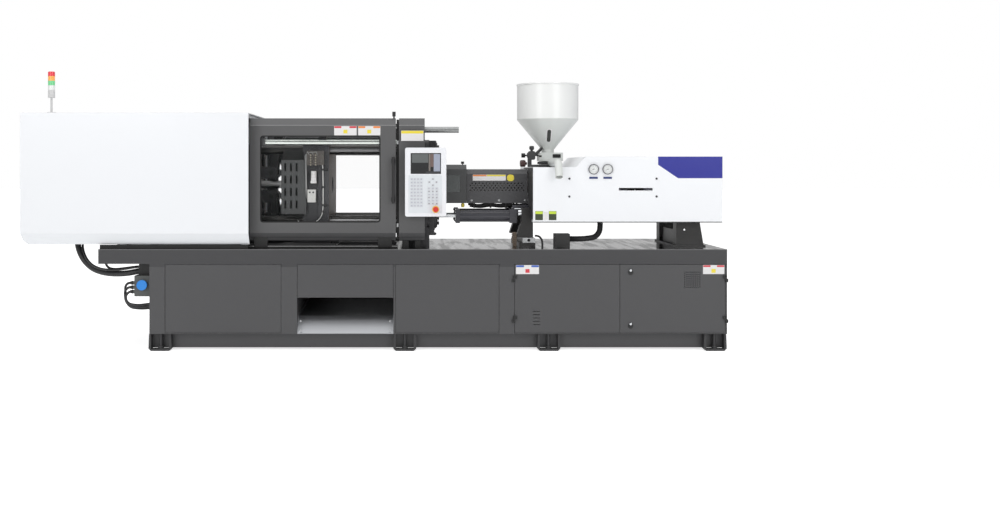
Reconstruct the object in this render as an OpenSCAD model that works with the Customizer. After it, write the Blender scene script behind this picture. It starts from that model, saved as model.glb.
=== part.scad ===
// Horizontal injection moulding machine with a toggle clamp and a sliding injection unit.
// X runs from the clamp to the injection end, Y from the operator's side to the back,
// and Z up. The origin is on the floor, under the middle of the machine.

/* [Machine] */
// Height of the screw and clamp axis above the floor
axis_h = 1195; // [1180:1:1240]
// Depth of the white covers, front to back
cover_depth = 1200; // [1180:2:1300]
// Running clearance between a rod and the bore that guides it
run_gap = 0.35; // [0.3:0.05:0.6]
// Clearance between neighbouring pieces that do not touch
free_gap = 2; // [1:0.5:3]

/* [Bed] */
// Left end of the bed's top beam
bed_left = -1992; // [-2040:2:-1940]
// Right end of the bed
bed_right = 2544; // [2500:2:2620]
// Depth of the bed, front to back
bed_depth = 1150; // [1120:2:1180]
// Height of the machined deck above the floor
deck_h = 736; // [700:1:745]
// Height of the top beam
beam_h = 106; // [80:1:120]
// Left end of the cabinet below the beam
cabinet_left = -1623; // [-1640:1:-1600]
// Thickness of the bed's plates
bed_plate = 12; // [8:1:16]
// Depth of the box posts behind the front face
post_depth = 80; // [60:1:100]
// Width of the post at the left end
end_post_w = 111; // [90:1:120]
// Width of the posts between the bays
post_w = 113; // [90:1:125]
// Left edge of the post beside the parts chute
chute_post_left = -671; // [-690:1:-650]
// Width of the chute bay
chute_w = 696; // [660:1:700]
// Left edge of the post beside the electrical cabinet
cabinet_post_left = 901; // [880:1:920]
// Width of the post beside the electrical cabinet
cabinet_post_w = 108; // [90:1:120]
// Height of the plinth's top above the floor
plinth_top = 125; // [110:1:140]
// Gap between the plinth and the floor
plinth_gap = 16; // [10:1:24]
// Height of the parts slot's top above the floor
slot_top = 384; // [340:1:420]
// Height of the tray's lip above the floor
tray_lip = 243; // [200:1:260]
// Thickness of the sheet panels
panel_t = 4; // [3:0.5:6]
// Gap round each panel
panel_gap = 3; // [2:0.5:5]
// Thickness of the hardened slide ways
way_t = 24; // [18:1:30]
// Width of each slide way
way_w = 90; // [70:1:110]
// Distance of each slide way from the middle plane
way_y = 262; // [240:1:280]

/* [Feet] */
// Length of each levelling shoe
shoe_l = 166; // [140:1:180]
// Height of each levelling shoe
shoe_h = 123; // [110:1:124]
// Depth of each shoe in front of the plinth
shoe_d = 62; // [50:1:70]
// Thickness of the shoe's plates
shoe_t = 14; // [10:1:18]
// Diameter of the levelling screw
shoe_screw = 24; // [16:1:30]
// Distance of the shoe's outer face inside the bed's front face
shoe_inset = 10; // [4:1:20]

/* [Platens] */
// Width of the platens
platen_w = 710; // [690:2:740]
// Height of the platens
platen_h = 674; // [660:2:700]
// Width between the tie bars' middles, front to back
tie_w = 525; // [520:1:540]
// Height between the tie bars' middles
tie_h = 527; // [520:1:540]
// Diameter of the tie bars
tie_d = 70; // [60:1:75]
// Mould face of the stationary platen
fixed_face = 198; // [190:1:210]
// Thickness of the stationary platen
fixed_t = 202; // [180:1:210]
// Daylight between the platens when the clamp is open
daylight = 543; // [500:1:560]
// Thickness of the moving platen
moving_t = 199; // [170:1:205]
// Travel of the moving platen
clamp_stroke = 375; // [350:1:380]
// Bore for the mould's locating ring
locating_d = 125; // [100:1:160]
// Diameter of the tapped mould fixing holes
fixing_d = 14; // [10:1:18]
// Pitch of the outer mould fixing holes
fixing_pitch = 420; // [380:1:440]
// Depth of the mould fixing holes
fixing_depth = 40; // [25:1:60]
// Diameter of the tie bar nuts
tie_nut_d = 128; // [110:1:140]
// Thickness of the tie bar nuts
tie_nut_t = 60; // [45:1:70]
// Travel of the rear platen when the mould height is set
height_stroke = 300; // [250:1:320]

/* [Toggle] */
// Length of the rear and the front toggle links between their pins
link_l = 300; // [290:1:310]
// Angle of the links to the axis when the clamp is open
link_angle = 80; // [76:0.5:82]
// Angle that each link turns through as the clamp closes
link_swing = 43; // [40:0.5:45]
// Distance of the toggle pins above and below the axis
toggle_z = 90; // [86:1:96]
// Radius of the link eyes
eye_r = 46; // [40:1:48]
// Radius of the toggle pins
pin_r = 20; // [16:1:24]
// Extra reach of the moving platen's pins that shares out the open pivot's play
pivot_lead = 11; // [8:1:13]
// Play of the open pivot at the moving platen, all round the pin
open_play = 14; // [12.5:0.5:16]
// Distance along the rear link of the pin that takes the drive link
drive_reach = 200; // [190:1:210]
// Length of the drive links between their pins
drive_l = 245; // [242:1:255]
// Distance of the crosshead pins above and below the axis
crosshead_z = 55; // [50:1:60]
// Travel of the crosshead
crosshead_stroke = 236; // [230:1:242]
// Radius of the drive link's pins
drive_pin_r = 15; // [12:1:17]
// Play of the open pivot on the rear link, all round the pin
drive_play = 15; // [14:0.5:17]
// Distance of the moving platen's pins behind its back face
lug_reach = 146; // [140:1:160]
// Distance of the rear platen's pins in front of its face
rear_lug_reach = 100; // [90:1:120]
// Thickness of the rear platen
rear_t = 160; // [140:1:180]
// Diameter of the clamp cylinder
clamp_cyl_d = 210; // [180:1:230]
// Length of the clamp cylinder
clamp_cyl_l = 470; // [440:1:500]
// Diameter of the clamp piston rod
clamp_rod_d = 60; // [50:1:64]
// Diameter of the crosshead's guide rods
guide_rod_d = 36; // [30:1:40]
// Distance of the crosshead's guide rods from the middle plane
guide_rod_y = 130; // [124:1:140]

/* [Clamp cover and gates] */
// Left end of the clamp cover
cover_left = -2546; // [-2560:2:-2530]
// Right edge of the clamp cover
cover_right = -905; // [-920:1:-890]
// Height of the clamp cover's top
cover_top = 1720; // [1700:1:1760]
// Height of the crease above the cover's skirt
cover_crease = 850; // [830:1:880]
// Height of the cover's bottom edge
cover_bottom = 770; // [755:1:790]
// Inward slant of the skirt
skirt_in = 55; // [30:1:70]
// Inward slant of the skirt at the left end, and the corner cut off below it
end_in = 8; // [0:1:20]
end_corner = 30; // [10:1:50]
// Thickness of the sheet covers
sheet_t = 6; // [3:0.5:8]
// Distance of the gates' front faces from the middle plane
gate_y = 485; // [470:1:500]
// Left edge of the gates
gate_left = -915; // [-930:1:-912]
// Right edge of the gates
gate_right = 153; // [140:1:160]
// Depth of the gates' folded edges
gate_t = 40; // [30:1:50]
// Height of the gates' top
gate_top = 1686; // [1670:1:1700]
// Height of the gates' bottom edge
gate_bottom = 789; // [780:1:800]
// Height of the upper slanted band of the gates
gate_band_top = 53; // [40:1:70]
// Height of the lower slanted band of the gates
gate_band_low = 59; // [40:1:70]
// Inward slant of the gates' bands
gate_slant = 30; // [20:1:36]
// Left edge of the gate window
window_left = -836; // [-850:1:-820]
// Width of the gate window
window_w = 875; // [840:1:890]
// Lower edge of the gate window
window_low = 926; // [910:1:950]
// Height of the gate window
window_h = 631; // [600:1:650]
// Corner radius of the gate window
window_r = 22; // [10:1:40]
// Opening travel of the gates
gate_stroke = 860; // [820:5:870]
// Diameter of the gates' upper guide rods
gate_rod_d = 38; // [30:1:42]
// Height of the gates' upper guide rods
gate_rod_h = 1511; // [1490:1:1525]
// Distance of the gates' upper guide rods from the middle plane
gate_rod_y = 415; // [412:1:420]
// Height of the gate handle's lower end
handle_low = 1064; // [1040:1:1090]
// Length of the gate handle
handle_l = 338; // [300:1:360]
// Diameter of the gate handle's bar
handle_d = 20; // [16:1:24]
// Stand-off of the gate handle's bar
handle_out = 45; // [40:1:50]
// Left edge of the stationary side covers
side_left = 176; // [172:1:184]
// Right edge of the stationary side covers
side_right = 364; // [350:1:380]

/* [Control panel] */
// Left edge of the control panel
panel_left = 221; // [210:1:230]
// Width of the control panel
panel_w = 298; // [280:1:320]
// Height of the control panel's bottom edge
panel_low = 971; // [950:1:990]
// Height of the control panel
panel_h = 498; // [470:1:520]
// Thickness of the control panel
panel_d = 58; // [40:1:62]
// Distance of the control panel's front from the middle plane
panel_y = 565; // [560:1:570]
// Forward swing of the control panel
panel_swing = 38; // [30:1:38]
// Diameter of the stop button
stop_d = 38; // [30:1:42]
// Travel of the stop button
stop_travel = 6; // [4:0.5:8]

/* [Injection unit] */
// Diameter of the screw
screw_d = 45; // [40:1:52]
// Outer diameter of the barrel
barrel_d = 120; // [105:1:130]
// Left end of the barrel's body
barrel_left = 640; // [620:1:660]
// Length of the feed block to the right of the hopper's middle
feed_block_l = 118; // [100:1:130]
// Position of the nozzle's tip
nozzle_tip = 290; // [280:1:310]
// Diameter of the nozzle's body
nozzle_d = 50; // [40:1:56]
// Diameter of the melt channel through the nozzle
melt_d = 8; // [5:1:12]
// Injection travel of the screw
screw_stroke = 180; // [150:5:190]
// Travel of the injection unit away from the clamp
carriage_back = 200; // [150:5:220]
// Travel of the injection unit towards the clamp
carriage_fwd = 50; // [30:1:60]
// Left edge of the barrel cover
barrel_cover_left = 687; // [680:1:700]
// Right edge of the barrel cover
barrel_cover_right = 1150; // [1140:1:1154]
// Height of the barrel cover's bottom edge
barrel_cover_low = 1054; // [1040:1:1070]
// Height of the barrel cover's shoulder
barrel_cover_shoulder = 1278; // [1270:1:1290]
// Half depth of the barrel cover
barrel_cover_y = 150; // [140:1:160]
// Left edge of the injection cover
inj_left = 1158; // [1155:1:1170]
// Right end of the injection cover
inj_right = 2546; // [2530:2:2600]
// Height of the injection cover's bottom edge
inj_low = 922; // [921:1:930]
// Height of the injection cover's top
inj_top = 1406; // [1390:1:1420]
// Height of the injection cover's front step
inj_step = 1328; // [1310:1:1340]
// Half depth of the injection cover
inj_y = 455; // [440:1:470]
// Diameter of the pressure gauges
gauge_d = 76; // [60:1:80]
// Diameter of the carriage guide bars
guide_d = 50; // [40:1:60]
// Distance of the carriage guide bars from the middle plane
guide_y = 270; // [264:1:276]
// Height of the carriage guide bars
guide_h = 985; // [980:1:1000]
// Position of the front support's middle
front_support_x = 1132; // [1120:1:1140]
// Length of the front support's casting
front_support_l = 84; // [70:1:96]
// Position of the rear support's left edge
rear_support_x = 2242; // [2220:1:2260]
// Diameter of the sled cylinders
sled_d = 80; // [60:1:84]
// Distance of the sled cylinders from the middle plane
sled_y = 168; // [150:1:170]
// Height of the sled cylinders
sled_h = 958; // [950:1:965]
// Left end of the sled cylinders
sled_left = 611; // [600:1:620]
// Length of the sled cylinders
sled_l = 440; // [420:1:450]
// Diameter of the sled cylinder rods
sled_rod_d = 23; // [20:1:28]

/* [Hopper] */
// Position of the hopper's middle
hopper_x = 1323; // [1310:1:1330]
// Diameter of the hopper
hopper_d = 472; // [440:2:490]
// Height of the hopper's rim
hopper_top = 1970; // [1940:2:2000]
// Height where the hopper's cone begins
hopper_cone = 1695; // [1680:1:1710]
// Height of the hopper's neck
hopper_neck = 1441; // [1435:1:1450]
// Outer diameter of the hopper's neck
neck_d = 96; // [84:1:100]
// Thickness of the hopper's sheet
hopper_t = 5; // [4:0.5:8]
// Height of the hopper base's lower face
base_low = 1300; // [1296:1:1310]
// Diameter of the drain spout
spout_d = 55; // [45:1:58]
// Height of the drain spout's level part
spout_h = 1360; // [1359:1:1366]
// Length of the drain spout's outlet
spout_l = 93; // [80:1:110]
// Bend radius of the drain spout
spout_bend = 40; // [36:1:50]
// Travel of the hopper's shutter
shutter_stroke = 70; // [60:1:80]

/* [Purge guard] */
// Left edge of the purge guard
purge_left = 480; // [478:1:490]
// Right edge of the purge guard
purge_right = 685; // [670:1:686]
// Height of the purge guard's bottom edge
purge_low = 1055; // [1045:1:1065]
// Height of the purge guard's top
purge_top = 1348; // [1335:1:1360]
// Half depth of the purge guard
purge_y = 175; // [170:1:180]
// Opening angle of the purge guard
purge_swing = 85; // [60:1:90]

/* [Safety bar, ejector and lamp] */
// Diameter of the safety bar
bar_d = 44; // [36:1:48]
// Height of the safety bar
bar_h = 1605; // [1598:1:1612]
// Distance of the safety bar in front of the middle plane
bar_y = 372; // [371:1:376]
// Right end of the safety bar
bar_right = 617; // [600:1:640]
// Travel of the ejector
ejector_stroke = 60; // [40:1:64]
// Diameter of the ejector rods
ejector_d = 28; // [20:1:32]
// Position of the signal lamp
lamp_x = -2398; // [-2420:1:-2380]
// Distance of the signal lamp in front of the middle plane
lamp_y = 375; // [350:1:400]
// Diameter of the signal lamp
lamp_d = 50; // [40:1:56]
// Height of the signal lamp's top
lamp_top = 2036; // [2020:1:2050]
// Height of one coloured lens
lens_h = 43; // [38:1:46]

/* [Electrical cabinet] */
// Thickness of the cabinet doors
door_t = 22; // [16:1:26]
// Opening angle of the cabinet doors
door_swing = 110; // [80:1:120]
// Diameter of the quarter-turn locks
lock_d = 30; // [24:1:36]
// Distance of the lock's middle from the door's free edge
lock_in = 75; // [60:1:90]

/* [Hoses] */
// Diameter of the large hydraulic hose
hose_d = 43; // [38:1:46]
// Diameter of the conduit hose below the injection unit
conduit_d = 45; // [38:1:48]
// Diameter of the thin cables
cable_d = 20; // [16:1:22]

/* [Hidden] */
$fn = 48;
// Length by which a cut passes the face that it cuts
cut = 2;

// Bed
bed_front = -bed_depth / 2;
beam_low = deck_h - beam_h;
bay_left = [cabinet_left + end_post_w, chute_post_left];
chute = [chute_post_left + post_w, chute_post_left + post_w + chute_w];
bay_right = [chute[1] + bed_plate, cabinet_post_left];
cabinet = [cabinet_post_left + cabinet_post_w, bed_right - bed_plate];
plinth_y = bed_depth / 2 - shoe_inset - shoe_d;
panel_lip = 20;
floor_h = plinth_top + 5 + panel_lip;
door_hinge_y = bed_front - 7.5;
panel_recess = panel_t + 3;
door_recess = door_t + free_gap / 4;
drop_x = [-300, 150];
drop_y = 230;

// Platens
moving_face = fixed_face - daylight;
moving_back = moving_face - moving_t;
fixed_back = fixed_face + fixed_t;
front_pin_x = moving_back - lug_reach;
folded_gap = 2 * link_l * cos(link_angle) + pivot_lead;
rear_pin_x = front_pin_x - folded_gap;
rear_face = rear_pin_x - rear_lug_reach;
rear_back = rear_face - rear_t;
tie_left = rear_back - tie_nut_t - height_stroke - 95;
tie_right = fixed_back + tie_nut_t + 14;
platen_low = axis_h - platen_h / 2;
way_top = deck_h + way_t;
knee = [rear_pin_x + link_l * cos(link_angle), toggle_z + link_l * sin(link_angle)];
drive_pin = [rear_pin_x + drive_reach * cos(link_angle), toggle_z + drive_reach * sin(link_angle)];
drive_drop = drive_pin[1] - crosshead_z;
crosshead_x = drive_pin[0] + sqrt(drive_l * drive_l - drive_drop * drive_drop);
// Sideways planes of the toggle, from the middle out
tongue_half = 8;
drive_half = 20;
front_plate = [24, 46];
lug_plate = [50, 90];
rear_lug_plate = [lug_plate[1] + 4, lug_plate[1] + 40];

// Gates
gate_back = gate_y - gate_t;
rail_top = deck_h + 22;

// Injection unit
barrel_bore = screw_d + 0.6;
feed_right = hopper_x + feed_block_l;
carriage_front = front_support_x + front_support_l / 2 + carriage_fwd + 24;
carriage_back_x = rear_support_x - carriage_back - 30;
thrust_left = feed_right + 60;
band_left = barrel_left + 75;
band_pitch = 130;
band_w = 110;
stop_x = panel_left + panel_w - 77;
stop_z = panel_low + 52;
panel_back = panel_y - panel_d;
hinge_x = panel_left + 14;
hinge_y = -(gate_y + panel_back) / 2;

// Shapes used by many pieces

// A block between two ends along each axis
module span(x, y, z)
  translate([x[0], y[0], z[0]])
    cube([x[1] - x[0], y[1] - y[0], z[1] - z[0]]);

// Round bars along each axis
module bar_x(d, x, y, z)
  translate([x[0], y, z])
    rotate([0, 90, 0])
      cylinder(d = d, h = x[1] - x[0]);

module bar_y(d, x, y, z)
  translate([x, y[0], z])
    rotate([-90, 0, 0])
      cylinder(d = d, h = y[1] - y[0]);

module bar_z(d, x, y, z)
  translate([x, y, z[0]])
    cylinder(d = d, h = z[1] - z[0]);

// The same piece at the front and at the back
module front_and_rear() {
  children();
  mirror([0, 1, 0])
    children();
}

// The same piece above and below the axis
module above_and_below() {
  children();
  translate([0, 0, 2 * axis_h])
    mirror([0, 0, 1])
      children();
}

// A rectangle with round corners
module round_rect(w, h, r) {
  translate([r, 0])
    square([w - 2 * r, h]);
  translate([0, r])
    square([w, h - 2 * r]);
  for (x = [r, w - r], y = [r, h - r])
    translate([x, y])
      circle(r = r);
}

// An upright plate with a drawn outline in X and Z, from the first depth to the second
module wall_xz(y)
  translate([0, y[1], 0])
    rotate([90, 0, 0])
      linear_extrude(height = y[1] - y[0])
        children();

// A long section with a drawn outline in Y and Z, along X
module along_x(x)
  translate([x[0], 0, 0])
    rotate([90, 0, 90])
      linear_extrude(height = x[1] - x[0])
        children();

// Bores or bars at the four tie bars
module at_tie_bars()
  for (y = [-tie_w / 2, tie_w / 2], z = [-tie_h / 2, tie_h / 2])
    translate([0, y, axis_h + z])
      children();

// A smooth curve through the points that a hose was laid along
function catmull(a, b, c, d, t) =
  0.5 * (2 * b + (c - a) * t + (2 * a - 5 * b + 4 * c - d) * t * t
  + (3 * b - a - 3 * c + d) * t * t * t);
function curve(p, steps) = [
  for (i = [0 : len(p) - 2], s = [0 : steps - 1])
    catmull(p[max(i - 1, 0)], p[i], p[i + 1], p[min(i + 2, len(p) - 1)], s / steps),
  p[len(p) - 1]
];
function unit(v) = v / norm(v);
function tangent(c, i) = unit(c[min(i + 1, len(c) - 1)] - c[max(i - 1, 0)]);
// The side direction is carried along the hose, so that the tube never twists
function carried(c, i, side) =
  let (t = tangent(c, i))
  unit(side - (side * t) * t);
function sides(c, i, side) =
  i == len(c) ? [] : let (s = carried(c, i, side)) concat([s], sides(c, i + 1, s));

// A hose of one diameter along a curve, as one closed tube
module hose(points, d, steps = 3, faces = 8) {
  c = curve(points, steps);
  first = abs(tangent(c, 0) * [0, 0, 1]) > 0.9 ? [0, 1, 0] : [0, 0, 1];
  side = sides(c, 0, first);
  rings = [
    for (i = [0 : len(c) - 1], k = [0 : faces - 1])
      let (up = cross(tangent(c, i), side[i]), a = 360 * k / faces)
      c[i] + d / 2 * (cos(a) * side[i] + sin(a) * up)
  ];
  n = len(c);
  walls = [
    for (i = [0 : n - 2], k = [0 : faces - 1])
      let (a = i * faces + k, b = i * faces + (k + 1) % faces)
      [a, a + faces, b + faces, b]
  ];
  ends = [
    [for (k = [0 : faces - 1]) k],
    [for (k = [faces - 1 : -1 : 0]) (n - 1) * faces + k]
  ];
  polyhedron(points = rings, faces = concat(walls, ends), convexity = 6);
}

// Bed

// A bay that goes through the bed, with a lip for its panels at both faces
module bay_cut(x, z, recess) {
  span(x, [bed_front - cut, bed_front + recess], z);
  span(x, [-bed_front - panel_recess, -bed_front + cut], z);
  span([x[0] + panel_lip, x[1] - panel_lip], [bed_front - cut, -bed_front + cut],
    [z[0] + panel_lip, z[1] - panel_lip]);
}

// The hollow inside a box post between two bays
module post_hollow(x)
  span([x[0] + bed_plate, x[1] - bed_plate], [bed_front + post_depth, -bed_front - post_depth],
    [plinth_top + bed_plate, beam_low]);

// Lower half of a door hinge, with its pin, welded to the post
module hinge_pin_post(x, z, post_side) {
  bar_z(6, x, door_hinge_y, [z - 25, z + 25]);
  bar_z(14, x, door_hinge_y, [z - 25, z]);
  span([min(x, x + post_side * 16), max(x, x + post_side * 16)], [door_hinge_y - 2, bed_front],
    [z - 25, z]);
}

module bed_frame() {
  color([0.34, 0.34, 0.35]) {
    difference() {
      union() {
        span([bed_left, bed_right], [bed_front, -bed_front], [beam_low, deck_h]);
        span([cabinet_left, bed_right], [bed_front, -bed_front], [plinth_top, beam_low]);
        span([cabinet_left, bed_right], [-plinth_y, plinth_y], [plinth_gap, plinth_top]);
        for (y = [-way_y, way_y])
          span([rear_back - height_stroke - 20, drop_x[0] - 10],
            [y - way_w / 2, y + way_w / 2], [deck_h, way_top]);
      }
      bay_cut(bay_left, [plinth_top + 5, beam_low - 2], panel_recess);
      span(chute, [bed_front - cut, -bed_front - 80], [plinth_top, slot_top]);
      span(chute, [bed_front - cut, bed_front + panel_recess], [slot_top, beam_low - 2]);
      span([chute[0] + panel_lip, chute[1] - panel_lip],
        [bed_front - cut, -bed_front - 80], [slot_top - cut, beam_low - 2 - panel_lip]);
      bay_cut(bay_right, [plinth_top + 5, beam_low - 2], panel_recess);
      bay_cut(cabinet, [plinth_top + 5, beam_low - 2], door_recess);
      post_hollow([chute_post_left, chute_post_left + post_w]);
      post_hollow([cabinet_post_left, cabinet_post_left + cabinet_post_w]);
      span([bed_left + bed_plate, drop_x[0] - 90], [bed_front + bed_plate, -bed_front - bed_plate],
        [beam_low + bed_plate, deck_h - 30]);
      span([drop_x[1] + 90, bed_right - bed_plate], [bed_front + bed_plate, -bed_front - bed_plate],
        [beam_low + bed_plate, deck_h - 30]);
      span(drop_x, [-drop_y, drop_y], [slot_top, deck_h + cut]);
    }
    for (z = [231, 524]) {
      hinge_pin_post(cabinet[0] - 2, z, -1);
      hinge_pin_post(cabinet[1] + 2, z, 1);
    }
  }
}

module bay_panel(x, z, y, recess)
  span([x[0] + panel_gap, x[1] - panel_gap],
    y < 0 ? [y + recess - panel_t, y + recess] : [y - recess, y - recess + panel_t],
    [z[0] + panel_gap, z[1] - panel_gap]);

module bed_panels()
  color([0.35, 0.35, 0.36]) {
    bay = [plinth_top + 5, beam_low - 2];
    for (y = [bed_front, -bed_front]) {
      bay_panel(bay_left, bay, y, panel_recess);
      bay_panel(bay_right, bay, y, panel_recess);
    }
    bay_panel(chute, [slot_top, beam_low - 2], bed_front, panel_recess);
    bay_panel(cabinet, bay, -bed_front, panel_recess);
  }

// Folded sheet: a slanted apron at the front and a floor that rises to the back
module chute_tray()
  color([0.72, 0.73, 0.74]) {
    floor_back = -bed_front - 90;
    apron = bed_front + 105;
    along_x([chute[0] + 1, chute[1] - 1])
      polygon([
        [bed_front + 2, plinth_top + 0.3],
        [bed_front + 8, plinth_top + 0.3],
        [apron + 4, tray_lip - 4],
        [floor_back, tray_lip + 30],
        [floor_back, tray_lip + 34],
        [apron, tray_lip],
        [bed_front + 2, plinth_top + 6]
      ]);
    for (x = [chute[0] + 1, chute[1] - 4])
      along_x([x, x + 3])
        polygon([
          [bed_front + 4, plinth_top + 0.3],
          [bed_front + 4, plinth_top + 28],
          [apron - 12, tray_lip + 22],
          [floor_back, tray_lip + 60],
          [floor_back, plinth_top + 0.3]
        ]);
  }

// A welded shoe with a levelling screw, open to the front
module shoe(x)
  translate([x - shoe_l / 2, bed_front + shoe_inset, 0]) {
    chamfer = 18;
    wall_xz([0, shoe_d - 0])
      difference() {
        polygon([
          [chamfer, 0], [shoe_l - chamfer, 0], [shoe_l, chamfer], [shoe_l - 4, shoe_h],
          [4, shoe_h], [0, chamfer]
        ]);
        translate([shoe_t + 4, shoe_t])
          square([shoe_l - 2 * shoe_t - 8, shoe_h]);
      }
    bar_z(shoe_screw, shoe_l / 2, shoe_d / 2, [shoe_t, plinth_top]);
    bar_z(shoe_screw * 1.7, shoe_l / 2, shoe_d / 2, [shoe_t, shoe_t + 18]);
  }

module levelling_feet()
  color([0.33, 0.33, 0.34])
    front_and_rear()
      for (x = [cabinet_left + 74, 219, 1260, bed_right - 82])
        shoe(x);

module electrical_plate()
  color([0.78, 0.79, 0.8]) {
    back = -bed_front - 200;
    middle = (cabinet[0] + cabinet[1]) / 2;
    difference() {
      span([cabinet[0] + 40, cabinet[1] - 40], [back, back + 4], [plinth_top + 40, beam_low - 50]);
      for (x = [cabinet[0] + 55, cabinet[1] - 55], z = [plinth_top + 55, beam_low - 65])
        bar_y(9, x, [back - cut, back + 4 + cut], z);
    }
    for (x = [cabinet[0] + 60, middle, cabinet[1] - 60])
      span([x - 20, x + 20], [back + 4, -bed_front - panel_recess - panel_lip / 4],
        [plinth_top + 25, plinth_top + 43]);
    // Frequency drive with its fins, contactors on a rail, and terminals
    span([cabinet[0] + 90, cabinet[0] + 330], [back - 190, back], [plinth_top + 130, beam_low - 90]);
    for (i = [0 : 5])
      span([cabinet[0] + 400 + i * 62, cabinet[0] + 450 + i * 62], [back - 110, back],
        [beam_low - 180, beam_low - 95]);
    for (i = [0 : 7])
      span([cabinet[0] + 400 + i * 45, cabinet[0] + 436 + i * 45], [back - 78, back],
        [plinth_top + 220, plinth_top + 300]);
    span([cabinet[0] + 850, cabinet[0] + 1130], [back - 140, back], [plinth_top + 190, beam_low - 110]);
    span([cabinet[0] + 1190, cabinet[0] + 1400], [back - 90, back], [plinth_top + 120, plinth_top + 200]);
  }

// Servo motor with a gear pump, standing on the floor of the middle bay
module pump_motor()
  color([0.28, 0.3, 0.34]) {
    z = floor_h + 130;
    x = bay_right[0] + 90;
    bar_x(210, [x + 240, x + 560], 0, z);
    bar_x(230, [x + 225, x + 240], 0, z);
    bar_x(150, [x + 560, x + 610], 0, z);
    bar_x(120, [x + 170, x + 225], 0, z);
    bar_x(150, [x, x + 170], 0, z);
    for (s = [x + 270, x + 500])
      span([s, s + 40], [-90, 90], [floor_h, z - 60]);
    bar_z(60, x + 85, 0, [z + 60, z + 150]);
  }

// Clamp cover and gates

// Section of the clamp cover, drawn from the middle plane out, at a depth inside its skin
module cover_section(t)
  polygon([
    [-cover_depth / 2 + t, cover_top - t], [-cover_depth / 2 + t, cover_crease],
    [-cover_depth / 2 + skirt_in + t, cover_bottom - (t > 0 ? cut : 0)],
    [cover_depth / 2 - skirt_in - t, cover_bottom - (t > 0 ? cut : 0)],
    [cover_depth / 2 - t, cover_crease], [cover_depth / 2 - t, cover_top - t]
  ]);

// Side view of the clamp cover, which keeps its end's skirt slanted as well
module cover_side(t)
  polygon([
    [cover_left + t, cover_top - t], [cover_left + t, cover_crease],
    [cover_left + end_in + t, cover_bottom + end_corner],
    [cover_left + end_in + end_corner + t, cover_bottom - cut],
    [cover_right + cut, cover_bottom - cut],
    [cover_right + cut, cover_top - t]
  ]);

module clamp_cover()
  color([0.95, 0.96, 0.98]) {
    difference() {
      intersection() {
        along_x([cover_left, cover_right])
          cover_section(0);
        wall_xz([-cover_depth, cover_depth])
          cover_side(0);
      }
      intersection() {
        along_x([cover_left - cut, cover_right + cut])
          cover_section(sheet_t);
        wall_xz([-cover_depth, cover_depth])
          cover_side(sheet_t);
      }
    }
    // Frame of square tube that carries the cover, its feet on the bed inside the slanted skirt
    inner = cover_depth / 2 - sheet_t;
    foot = cover_depth / 2 - skirt_in - sheet_t - 1;
    for (x = [cover_left + 700, cover_right - 60]) {
      front_and_rear() {
        span([x, x + 40], [-inner, -inner + 40], [cover_crease, cover_top - sheet_t]);
        span([x, x + 40], [-inner, -foot + 34], [cover_crease, cover_crease + 40]);
        span([x, x + 40], [-foot, -foot + 34], [deck_h, cover_crease + 40]);
      }
      span([x, x + 40], [-inner + 40, inner - 40], [cover_top - sheet_t - 24, cover_top - sheet_t]);
    }
    front_and_rear()
      span([cover_left + 700, cover_right - 20], [-inner, -inner + 40],
        [cover_crease, cover_crease + 40]);
  }

// Section of a gate, with its slanted upper and lower bands, facing the front
module gate_section()
  polygon([
    [-gate_y, gate_top - gate_band_top], [-gate_y, gate_bottom + gate_band_low],
    [-gate_y + gate_slant, gate_bottom], [-gate_back, gate_bottom],
    [-gate_back, gate_top], [-gate_y + gate_slant, gate_top]
  ]);

module gate_window_outline(grow)
  translate([window_left - grow, window_low - grow])
    round_rect(window_w + 2 * grow, window_h + 2 * grow, window_r + grow);

// A gate hangs on its guide rod by two sliding blocks and is steadied by the lower rail
module gate() {
  hanger_w = 90;
  difference() {
    along_x([gate_left, gate_right])
      gate_section();
    wall_xz([-gate_y - cut, -gate_back + cut])
      gate_window_outline(0);
    wall_xz([-gate_y + 12, -gate_back + cut])
      gate_window_outline(14);
    span([gate_left + 14, window_left - 30], [-gate_y + 10, -gate_back + cut],
      [gate_bottom + 70, gate_top - 70]);
    span([window_left + window_w + 30, gate_right - 14], [-gate_y + 10, -gate_back + cut],
      [gate_bottom + 70, gate_top - 70]);
  }
  for (x = [gate_left + 16, gate_right - 16 - hanger_w])
    difference() {
      union() {
        span([x, x + hanger_w], [-gate_back, -gate_rod_y + gate_rod_d / 2 + 12],
          [gate_rod_h - gate_rod_d / 2 - 14, gate_rod_h + gate_rod_d / 2 + 14]);
        span([x, x + hanger_w], [-gate_back, -gate_back + 12],
          [gate_rod_h + gate_rod_d / 2 + 14, gate_top - 40]);
      }
      bar_x(gate_rod_d + 2 * run_gap, [x - cut, x + hanger_w + cut], -gate_rod_y, gate_rod_h);
    }
  for (x = [gate_left + 30, gate_right - 130])
    difference() {
      span([x, x + 100], [-gate_back - 24, -gate_back + 12],
        [rail_top - 14, gate_bottom + 30]);
      span([x - cut, x + 100 + cut], [-gate_back - 12 - run_gap, -gate_back + run_gap],
        [rail_top - 14 - cut, rail_top + run_gap]);
    }
}

module gate_pane()
  wall_xz([-gate_y + 12, -gate_y + 18])
    gate_window_outline(14);

module front_gate()
  color([0.37, 0.37, 0.37])
    gate();

module rear_gate()
  color([0.37, 0.37, 0.37]) {
    mirror([0, 1, 0])
      gate();
    mirror([0, 1, 0])
      gate_bar();
  }

module front_gate_window()
  color([0.8, 0.86, 0.88, 0.3])
    gate_pane();

module rear_gate_window()
  color([0.8, 0.86, 0.88, 0.3])
    mirror([0, 1, 0])
      gate_pane();

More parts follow.
